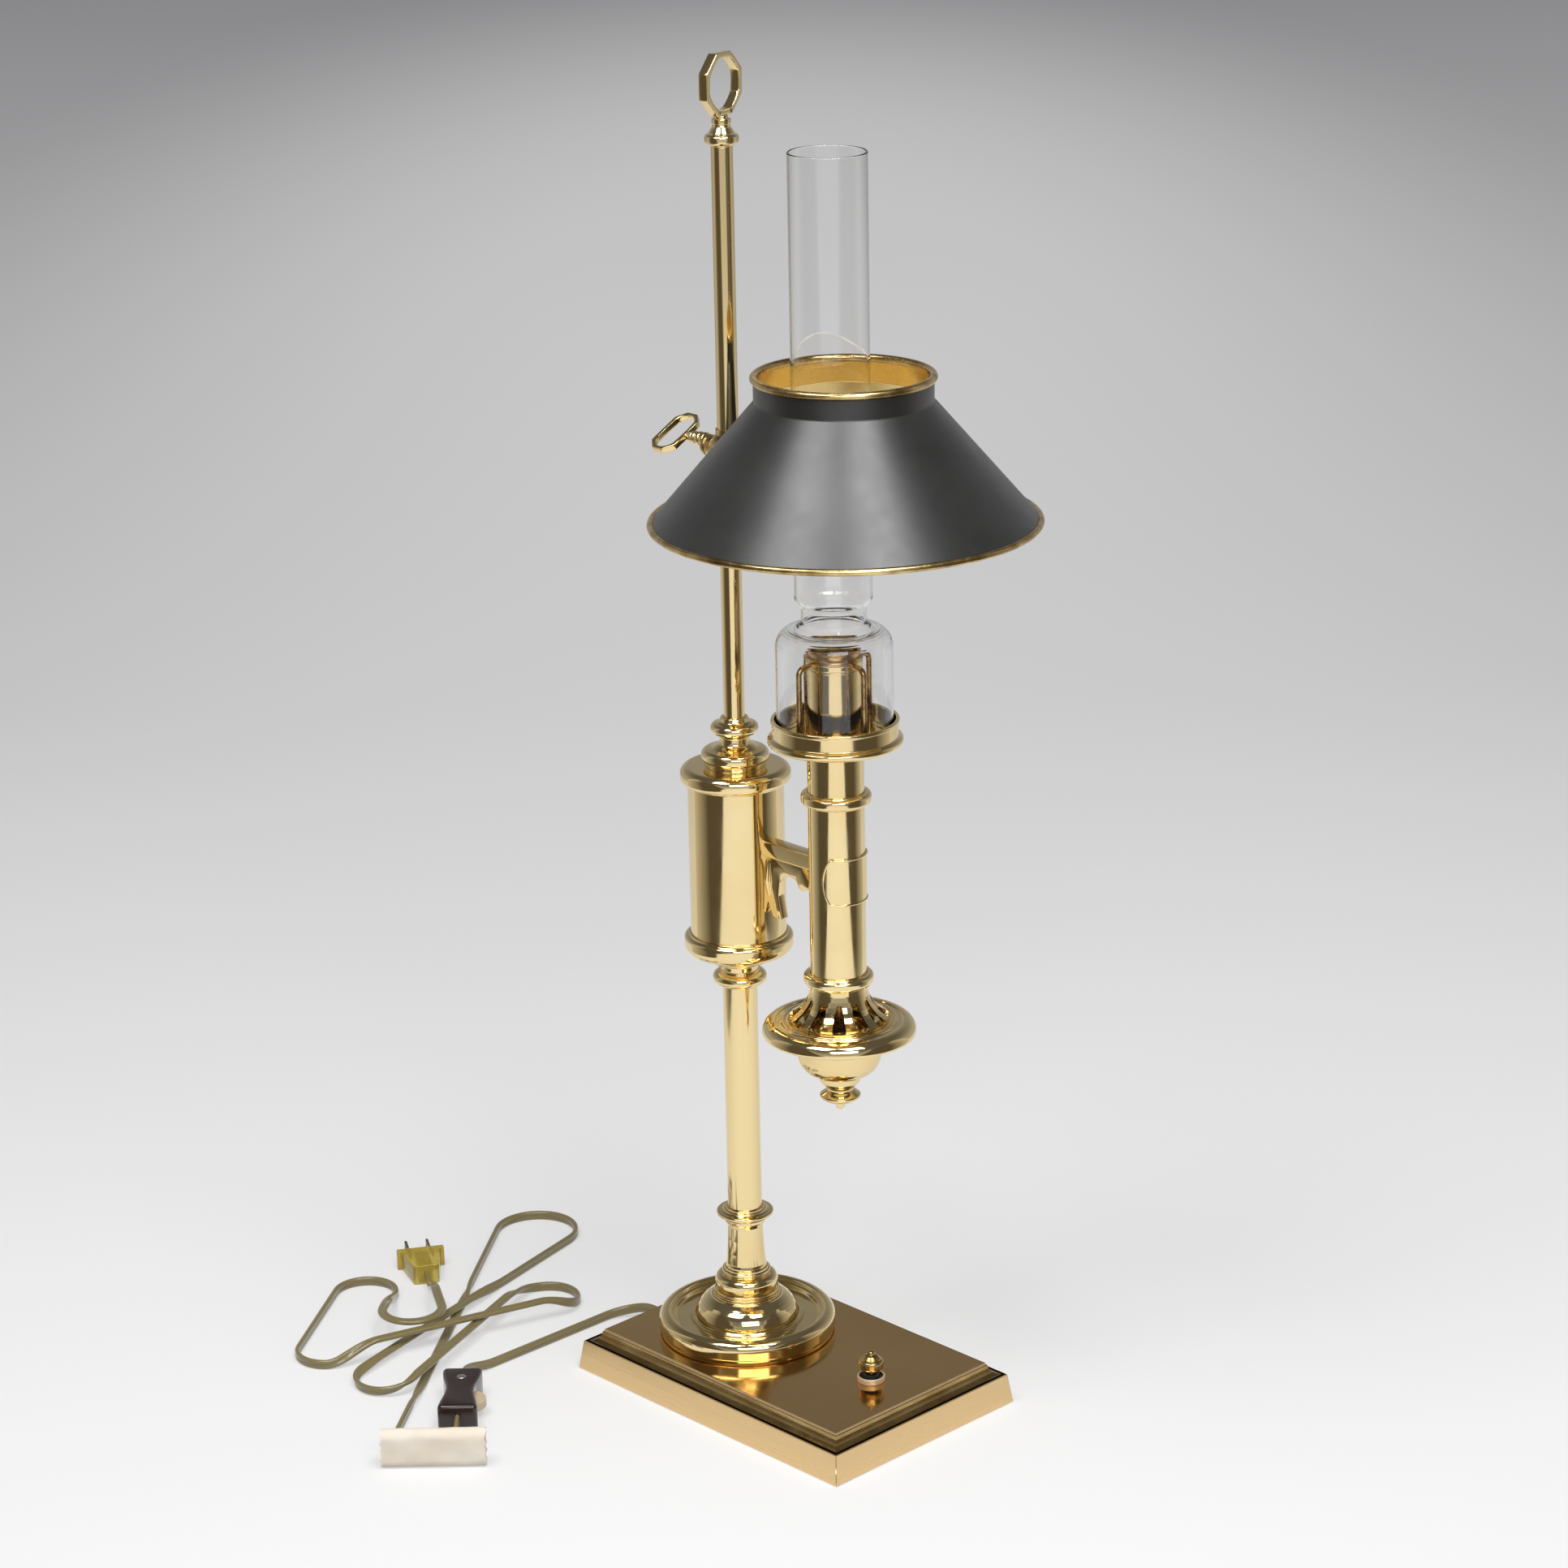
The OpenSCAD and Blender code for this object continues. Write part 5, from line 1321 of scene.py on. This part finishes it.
class LAMP_OT_shade(bpy.types.Operator):
    """Painted shade with its rolled wires, and the collar and thumb screw that hold it."""

    bl_idname = "lamp.shade"
    bl_label = "Shade"

    def execute(self, context):
        self.make_cone()
        for node in ("shade_neck_rim", "shade_bottom_rim"):
            self.make_wire(node)
        self.make_collar()
        self.make_screw()
        return {"FINISHED"}

    def make_wire(self, node):
        """Wire rolled into an edge of the shade."""
        x, low, high, radius = seat_of(node)
        size = (high - low) / 2
        sides = 20
        turns = [2 * math.pi * k / sides for k in range(sides)]
        wire = spun([(radius - size + size * math.cos(a), size + size * math.sin(a), 0) for a in turns], 160)
        moved(wire, x, 0, low)
        make_piece(f"{node}_wire", wire, node, shared(aged_collar))

    def make_cone(self):
        """Sheet cone with a straight neck, cut out round the collar."""
        x, low, high, radius = seat_of("shade_cone")
        _, rim_low, rim_high, rim_radius = seat_of("shade_neck_rim")
        neck, wall = rim_radius - (rim_high - rim_low) / 2, 0.4
        bend = high - NECK_H
        mesh = spun(
            [(radius, low, 0), (neck + wall, bend + 0.3, 1.6), (neck + wall, high, 0), (neck - wall, high, 0),
             (neck - wall, bend - 0.3, 0.9), (radius - 0.62, low - 0.3, 0)], 192
        )
        moved(mesh, x, 0, 0)
        screw_low, screw_high = box_of("thumb_screw")
        collar = Matrix.Translation((seat_of("clamp_bush")[0], 0, (screw_low.z + screw_high.z) / 2))
        ball = bmesh.new()
        bmesh.ops.create_uvsphere(ball, u_segments=48, v_segments=24, radius=COLLAR_ROOM)
        stem = spun([(0, -STEM_L), (STEM_ROOM, -STEM_L), (STEM_ROOM, 0), (0, 0)], 48)
        for cutter in (ball, stem):
            mesh = carved(mesh, turn_mesh(cutter, collar))
        bmesh.ops.recalc_face_normals(mesh, faces=mesh.faces)
        painted(mesh, lambda face, spot: int(face.normal.dot(Vector((spot.x - x, spot.y, 0))) <= 0))
        make_piece("shade_cone_spun", mesh, "shade_cone", shared(shade_paint), shared(shade_lining))

    def make_collar(self):
        """Ball on the rod with its stem below and the boss that takes the thumb screw."""
        low, high = box_of("shade_collar")
        x, bore, ball = seat_of("clamp_bush")[0], ROD_HOLE + BUSH_WALL, (high.y - low.y) / 2
        centre, reach = high.z - ball, x - low.x
        stem = centre - low.z
        rim = math.degrees(math.acos(bore / ball))
        foot = math.degrees(math.acos(STEM_R / ball))
        body = spun([(bore, -stem), (STEM_R, -stem, 0.4), *arc(0, 0, ball, -foot, rim), (bore, 0, 0)], 96)
        boss = spun(
            [(2.1, 8.5), (5.8, 8.5, 0), (5.8, 12.6, 0.3), (5.2, 12.9, 0.3), (5.2, 13.5, 0.3),
             (5.8, 13.8, 0.4), (5.8, reach, 0.6), (2.1, reach, 0.3)], 64
        )
        turn_mesh(boss, rotated(-90, "Y"))
        mesh = moved(joined([body, boss]), x, 0, centre)
        make_piece("shade_collar_turned", mesh, "shade_collar", shared(aged_collar))

    def make_screw(self):
        """Thumb screw: plain shank, beaded head and the flat bow."""
        low, high = box_of("thumb_screw")
        axis_z = (low.z + high.z) / 2
        reach = high.x - low.x - BOW_W
        head = reach - SCREW_HEAD
        shank = spun(
            [(0, 0), (2, 0, 0.4), (2, head), (4, head, 0.5), (4, head + 2.4, 0.6), (2.7, head + 2.7, 0.3),
             (2.7, head + 3.3, 0.3), (3.8, head + 3.5, 1.4), (3.8, head + 6.5, 1.4), (2.6, head + 6.7, 0.3),
             (2.6, head + 7.4, 0.3), (3.4, head + 7.6, 1), (3.4, head + 9.6, 1), (2.7, head + 9.8, 0.3),
             (3.2, head + 10.2, 0.5), (3.2, head + 11.2, 0.4), (1.6, reach + 0.2, 0.4), (0, reach + 0.6)], 64
        )
        turn_mesh(shank, rotated(-90, "Y"))
        moved(shank, high.x, 0, axis_z)
        bow = turn_mesh(bow_mesh(BOW_W, BOW_L, BOW_T, BOW_DEPTH), rotated(BOW_TURN, "X"))
        moved(bow, low.x + BOW_W / 2, 0, axis_z)
        make_piece("thumb_screw_bow", joined([shank, bow]), "thumb_screw", brass())


class LAMP_OT_arm(bpy.types.Operator):
    """Arm between the reservoir and the burner, with the scroll under it."""

    bl_idname = "lamp.arm"
    bl_label = "Arm"

    def execute(self, context):
        low, high = box_of("feed_arm")
        let_in = 0.5
        bar = block(high - low + Vector((2 * let_in, 0, 0)))
        turn_mesh(bar, Matrix.Translation((low + high) / 2))
        bevel_edges(bar, [e for e in bar.edges if abs(e.verts[0].co.x - e.verts[1].co.x) > 1], 0.9, 3)
        make_piece("feed_arm_bar", bar, "feed_arm", brass())
        self.make_scroll()
        return {"FINISHED"}

    def make_scroll(self):
        """Flat hook under the arm, with a fluted leaf where it meets the drum."""
        x, _, _, radius = seat_of("reservoir_drum")
        wall, top, thick = x + radius, box_of("arm_scroll")[1].z, 5
        hook = [
            (-1, 0, 0.3), (25.5, 0, 1.5), (31, -7, 4), (31.4, -13.6, 4.2), (23.6, -13.6, 3.8),
            (21.8, -8.4, 4), (16.5, -8, 5), (9.5, -10, 6), (7.6, -22, 12), (10.2, -34, 0.5),
            (3.5, -33.4, 0.8), (-1, -24, 1)
        ]
        plate = slab(softened(hook, 0.5), thick)
        bevel_edges(plate, level_edges(plate), 0.6, 2)
        turn_mesh(plate, Matrix.Translation((wall, thick / 2, top)) @ rotated(90, "X"))
        leaf = bmesh.new()
        bmesh.ops.create_uvsphere(leaf, u_segments=64, v_segments=32, radius=1)
        deep, wide, tall, flutes = 2.6, 4.2, 15, 7
        for v in leaf.verts:
            angle = math.atan2(v.co.y, v.co.x)
            flute = 1 + 0.1 * math.cos(flutes * angle) * (1 - v.co.z ** 2)
            draw = flute * (1 - 0.45 * max(0, -v.co.z))
            v.co = (deep * v.co.x * draw, wide * v.co.y * draw, tall * v.co.z)
        moved(leaf, wall + 1, 0, top - tall + 1)
        make_piece("arm_scroll_leaf", joined([plate, leaf]), "arm_scroll", brass())


class LAMP_OT_burner(bpy.types.Operator):
    """Burner tube with rings and plaque, the gallery, sleeve and wires, and the vent and drip pieces."""

    bl_idname = "lamp.burner"
    bl_label = "Burner"

    def execute(self, context):
        for outline in (burner_tube, socket_sleeve, vent_disc, drip_bowl, drip_finial):
            turned_piece(outline.__name__, outline, brass())
        for node in ("burner_ring_upper", "burner_ring_lower"):
            turned_piece(node, burner_ring, brass())
        self.make_cap()
        self.make_gallery()
        self.make_vent()
        self.make_plaque()
        self.make_wires()
        return {"FINISHED"}

    def make_cap(self):
        """Cap on the sleeve, browned above its bright skirt."""
        mesh = turned_mesh("sleeve_cap", sleeve_cap)
        skirt_h = 4.5
        skirt = seat_of("sleeve_cap")[1] + skirt_h
        painted(mesh, lambda _, spot: int(spot.z < skirt))
        make_piece("sleeve_cap_turned", mesh, "sleeve_cap", shared(browned_brass), brass())

    def make_gallery(self):
        """Gallery with a knurl round its lowest edge."""
        ridges, knurl_h, knurl_from = sizes().ridges, 1.6, 34
        x, low, high, radius = seat_of("gallery")
        mesh = spun(gallery(radius, high - low), 4 * ridges)
        ridged(mesh, ridges, 0.004, lambda spot: spot.z < knurl_h and spot.xy.length > knurl_from)
        make_piece("gallery_turned", moved(mesh, x, 0, low), "gallery", brass())

    def make_vent(self):
        """Flared vent with slots that narrow upwards."""
        x, low, high, radius = seat_of("air_vent")
        height = high - low
        mesh = spun(air_vent(radius, height))
        slots, foot, head, past = sizes().slots, 1.6, height * 0.68, 30
        outline = softened([(-4, foot, 1), (4, foot, 1), (1.5, head, 1), (-1.5, head, 1)], 0.6)
        stand = rotated(90, "Z") @ rotated(90, "X")
        cutters = []
        for k in range(slots):
            turn = Matrix.Rotation(2 * math.pi * (k + 0.5) / slots, 4, "Z")
            cutters.append(turn_mesh(slab(outline, past), turn @ stand))
        mesh = carved(mesh, joined(cutters))
        make_piece("air_vent_slotted", moved(mesh, x, 0, low), "air_vent", brass())

    def make_plaque(self):
        """Bare curved plaque with a raised rim and rounded ends."""
        x, _, _, radius = seat_of("burner_tube")
        low, high = box_of("burner_plaque")
        half_w, half_h, bulge, thick, gap, skin = 20.4, (high.z - low.z) / 2, 4.2, 0.8, 0.05, 0.5
        bow = (half_h ** 2 + bulge ** 2) / 2 / bulge
        lean = math.degrees(math.asin(half_h / bow))
        end = arc(half_w - bow, 0, bow, -lean, lean)
        mesh = slab(softened(end + [(-a, -b, 0) for a, b, _ in end], 0), thick)
        face = max(mesh.faces, key=lambda f: f.calc_center_median().z)
        bead = ((0.2, 0.3), (0.2, 0.12), (0.35, 0), (0.2, -0.12), (0.2, -0.45))
        for thickness, depth in bead:
            mesh.normal_update()
            bmesh.ops.inset_region(mesh, faces=[face], thickness=thickness, depth=depth, use_even_offset=True)
        strips = 40
        for k in range(1, strips):
            bmesh.ops.bisect_plane(
                mesh, geom=mesh.verts[:] + mesh.edges[:] + mesh.faces[:],
                plane_co=(half_w * (2 * k / strips - 1), 0, 0), plane_no=(1, 0, 0)
            )
        middle = (low.z + high.z) / 2
        for v in mesh.verts:
            angle = v.co.x / (radius + skin)
            r = radius + gap + v.co.z
            v.co = (x + r * math.cos(angle), r * math.sin(angle), middle + v.co.y)
        make_piece("burner_plaque_bare", mesh, "burner_plaque", brass())

    def make_wires(self):
        """Four wires that leave the cap level, turn down and stand on the gallery floor."""
        x, low, high, radius = seat_of("chimney_prongs")
        wire, bend, start, lead = 1.5, 4, 14.7, -5.5
        reach, top = radius - wire, high - wire
        wires = []
        for k in range(4):
            mesh = bmesh.new()
            bmesh.ops.create_circle(mesh, segments=16, radius=wire)
            turn_mesh(mesh, Matrix.Translation((start, 0, top)) @ rotated(90, "Y"))
            edges = drawn(mesh, mesh.edges[:], (reach - bend - start, 0, 0))
            spots = list({v for e in edges for v in e.verts})
            turned = bmesh.ops.spin(
                mesh, geom=spots + edges, cent=(reach - bend, 0, top - bend), axis=(0, 1, 0),
                angle=math.pi / 2, steps=8
            )
            drawn(mesh, only(turned["geom_last"], BMEdge), (0, 0, low + bend - top))
            bmesh.ops.holes_fill(mesh, edges=[e for e in mesh.edges if e.is_boundary], sides=0)
            wires.append(turn_mesh(mesh, rotated(90 * k + lead, "Z")))
        mesh = moved(joined(wires), x, 0, 0)
        make_piece("chimney_prongs_bent", mesh, "chimney_prongs", shared(aged_brass))


class LAMP_OT_glass(bpy.types.Operator):
    """Glass chimney with its bulge, waist and tube."""

    bl_idname = "lamp.glass"
    bl_label = "Chimney"

    def execute(self, context):
        turned_piece("chimney", chimney, shared(clear_glass))
        return {"FINISHED"}


class LAMP_OT_dimmer(bpy.types.Operator):
    """Acorn knob of the dimmer and the pale cupped nut under it."""

    bl_idname = "lamp.dimmer"
    bl_label = "Dimmer knob"

    def execute(self, context):
        turned_piece("dimmer_knob", dimmer_knob, shared(aged_collar))
        pale = moulded("lamp pale nut", (0.60, 0.47, 0.34), 0.3, 0.45, Metallic=0.4)
        nut = turned_mesh("dimmer_nut", dimmer_nut)
        x, _, high, radius = seat_of("dimmer_nut")
        inside, brim = radius - 1.1, high - 0.4
        # The inside of the cup below its brim takes the dark cove brass, a painted shade in the hollow.
        painted(nut, lambda _, spot: int(math.hypot(spot.x - x, spot.y) < inside and spot.z < brim))
        make_piece("dimmer_nut_turned", nut, "dimmer_nut", pale, shared(cove_brass))
        return {"FINISHED"}


class LAMP_OT_inner(bpy.types.Operator):
    """Finishes of the inner pieces that keep their CAD shape."""

    bl_idname = "lamp.inner"
    bl_label = "Inner pieces"

    def execute(self, context):
        ivory = moulded("lamp porcelain", (0.78, 0.74, 0.66), 0.12, 0.22)
        black = moulded("lamp black plastic", (0.02, 0.02, 0.021), 0.35, 0.5)
        lead = moulded("lamp lead cover", (0.55, 0.45, 0.28), 0.35, 0.5)
        groups = {
            shared(aged_brass): (
                "column_pipe", "burner_pipe", "socket_shell", "socket_contact", "clamp_bush"
            ),
            shared(plated_steel): ("base_washer", "base_nut", "reservoir_nut", "rod_nut", "gallery_nut"),
            ivory: ("lamp_socket",),
            black: ("dimmer_body", "cord_bushing"),
            lead: ("supply_lead",),
            green_felt(): ("base_cover",),
        }
        for finish, nodes in groups.items():
            for node in nodes:
                refinished(node, finish)
        return {"FINISHED"}


# Stage, in metres: right of the lamp, towards the camera and up, seen from the camera. Depths of the glow
# and of the cards' ends run away from the camera.
FLOOR_REACH = 30
NEAR_GLOW = (-0.2, 1.3)
FAR_GLOW = (1, 6)
POOL_SCALE = (0.75, 0.3, 0)
POOL_SHIFT = (0, -0.96, 0)
POOL_CORE = 0.85
HORIZON = (0.46, 0.46, 0.47)
OVERHEAD = (0.11, 0.105, 0.10)
OVERHEAD_FROM = 0.7
AIM = Vector((0, 0, 0.35))
# Place and size of each softbox, and how far right the foot and the top of each card are.
SOFTBOXES = {
    "left": ((-0.64, 0.65, 2.0), (0.85, 0.8)),
    "right": ((0.46, 0.7, 2.0), (0.7, 0.8)),
    "front": ((0.3, 2.4, 1.7), (1.8, 1.0)),
}
CARDS = {"card_left": (-0.54, -1.54), "card_right": (0.66, 1.66)}
CARD_FRONT = -1.6
CARD_BACK = 0.3
CARD_FADE = 0.5
CARD_Z = (0.002, 1.6)
CARD_END = (0.6, 0.58, 0.54)


class LAMP_OT_stage(bpy.types.Operator):
    """Pale floor, soft studio light and dark cards that give the brass its bands."""

    bl_idname = "lamp.stage"
    bl_label = "Stage"

    def execute(self, context):
        context.scene.view_settings.view_transform = "Standard"
        self.make_floor()
        self.make_world(context)
        self.make_lights(context)
        self.make_cards()
        return {"FINISHED"}

    def make_floor(self):
        """Pale paper floor that keeps the shadow and glows to the camera, less so far behind the lamp."""
        mesh = bmesh.new()
        bmesh.ops.create_grid(mesh, x_segments=2, y_segments=2, size=FLOOR_REACH)
        floor = shown("floor", mesh)
        finish, shader = new_finish(
            "lamp stage floor", Base_Color=(*studio().floor, 1), Roughness=0.9, Specular_IOR_Level=0.1
        )
        place = self.place_of(finish)
        depth = add_node(finish, "ShaderNodeSeparateXYZ", {"Vector": place}).outputs["Y"]
        near = spread(finish, depth, 0, 1, *NEAR_GLOW)
        far = spread(finish, depth, 0, 1, *FAR_GLOW)
        pool = add_node(
            finish, "ShaderNodeMapping", {"Vector": place, "Scale": POOL_SCALE, "Location": POOL_SHIFT}
        )
        pool = add_node(
            finish, "ShaderNodeTexGradient", {"Vector": pool.outputs["Vector"]}, gradient_type="SPHERICAL"
        )
        round_edge = spread(finish, pool.outputs["Fac"], 0, POOL_CORE, 0, POOL_CORE, "SMOOTHSTEP")
        glow = mixed(finish, near, studio().glow_near, studio().glow_mid)
        glow = mixed(finish, far, glow, studio().glow_far)
        glow = mixed(finish, round_edge, glow, studio().glow_pool)
        join_socket(finish, shader, "Emission Color", glow)
        join_socket(finish, shader, "Emission Strength", self.seen(finish))
        floor.data.materials.append(finish)

    @staticmethod
    def place_of(finish):
        """Place to the right of the lamp and behind it, seen from the camera."""
        place = add_node(finish, "ShaderNodeTexCoord")
        turned = add_node(
            finish, "ShaderNodeMapping",
            {"Vector": place.outputs["Object"], "Rotation": (0, 0, -studio().turn)}
        )
        return turned.outputs["Vector"]

    @staticmethod
    def larger(finish, first, second):
        """Larger of two values."""
        return add_node(finish, "ShaderNodeMath", {0: first, 1: second}, operation="MAXIMUM").outputs[0]

    def seen(self, finish):
        """One for rays from the camera, also by way of metal and glass, and nothing for light on the lamp."""
        rays = add_node(finish, "ShaderNodeLightPath").outputs
        bent = self.larger(finish, rays["Is Glossy Ray"], rays["Is Transmission Ray"])
        return self.larger(finish, rays["Is Camera Ray"], bent)

    def make_world(self, context):
        """Grey room, paler at the horizon than overhead."""
        world = bpy.data.worlds.new("studio")
        context.scene.world = world
        world.use_nodes = True
        place = add_node(world, "ShaderNodeTexCoord")
        axes = add_node(world, "ShaderNodeSeparateXYZ", {"Vector": place.outputs["Generated"]})
        height = spread(world, axes.outputs["Z"], 0, 1, 0, OVERHEAD_FROM)
        shade = mixed(world, height, HORIZON, OVERHEAD)
        world.node_tree.links.new(shade, world.node_tree.nodes["Background"].inputs["Color"])

    @staticmethod
    def spot_of(right, near, up):
        """Place in the studio, given to the right of the lamp, towards the camera and up."""
        a = studio().turn
        return Vector((
            right * math.cos(a) + near * math.sin(a), right * math.sin(a) - near * math.cos(a), up
        ))

    def make_lights(self, context):
        """Softboxes over both sides and in front."""
        for side, (place, (width, height)) in SOFTBOXES.items():
            name, power = f"softbox_{side}", getattr(studio(), side)
            lamp = bpy.data.lights.new(name, "AREA")
            lamp.shape = "RECTANGLE"
            lamp.size, lamp.size_y, lamp.energy = width, height, power
            thing = bpy.data.objects.new(name, lamp)
            spot = self.spot_of(*place)
            turn = (AIM - spot).to_track_quat("-Z", "Y")
            thing.matrix_world = Matrix.Translation(spot) @ turn.to_matrix().to_4x4()
            context.scene.collection.objects.link(thing)

    def make_cards(self):
        """Dark sloping cards, paler at both ends, which only the metal and the glass show."""
        grey, shader = new_finish(
            "lamp stage card", Base_Color=(0, 0, 0, 1), Roughness=1, Specular_IOR_Level=0, Emission_Strength=1
        )
        depth = add_node(grey, "ShaderNodeSeparateXYZ", {"Vector": self.place_of(grey)}).outputs["Y"]
        front_end = spread(grey, depth, 1, 0, CARD_FRONT, CARD_FRONT + CARD_FADE)
        back_end = spread(grey, depth, 0, 1, CARD_BACK - CARD_FADE, CARD_BACK)
        ends = self.larger(grey, front_end, back_end)
        join_socket(grey, shader, "Emission Color", mixed(grey, ends, studio().card, CARD_END))
        low, high = CARD_Z
        for name, (foot, top) in CARDS.items():
            mesh = bmesh.new()
            corners = [
                (foot, -CARD_BACK, low), (foot, -CARD_FRONT, low),
                (top, -CARD_FRONT, high), (top, -CARD_BACK, high),
            ]
            mesh.faces.new([mesh.verts.new(self.spot_of(*corner)) for corner in corners])
            card = shown(name, mesh)
            card.data.materials.append(grey)
            card.visible_camera = False
            card.visible_shadow = False
            card.visible_diffuse = False


OPERATORS = (
    LAMP_OT_camera, LAMP_OT_switch, LAMP_OT_plug, LAMP_OT_tag, LAMP_OT_cords, LAMP_OT_base, LAMP_OT_column,
    LAMP_OT_reservoir, LAMP_OT_rod, LAMP_OT_shade, LAMP_OT_arm, LAMP_OT_burner, LAMP_OT_glass, LAMP_OT_dimmer,
    LAMP_OT_inner, LAMP_OT_stage,
)


class LAMP_PT_sidebar(bpy.types.Panel):
    """Lists the steps that dress the lamp."""

    bl_idname = "LAMP_PT_sidebar"
    bl_label = "Brass reading lamp"
    bl_space_type = "VIEW_3D"
    bl_region_type = "UI"
    bl_category = "Lamp"

    def draw(self, context):
        for operator in OPERATORS:
            self.layout.operator(operator.bl_idname)


GROUPS = {"lamp_finishes": LampFinishes, "lamp_sizes": LampSizes, "lamp_stage": LampStage}


def register():
    for group in (*GROUPS.values(), *OPERATORS, LAMP_PT_sidebar):
        bpy.utils.register_class(group)
    for name, group in GROUPS.items():
        setattr(bpy.types.Scene, name, bpy.props.PointerProperty(type=group))


def unregister():
    for name in GROUPS:
        delattr(bpy.types.Scene, name)
    for group in (LAMP_PT_sidebar, *reversed(OPERATORS), *reversed(GROUPS.values())):
        bpy.utils.unregister_class(group)


def main():
    register()
    for operator in OPERATORS:
        family, step = operator.bl_idname.split(".")
        getattr(getattr(bpy.ops, family), step)()


if __name__ == "__main__":
    main()
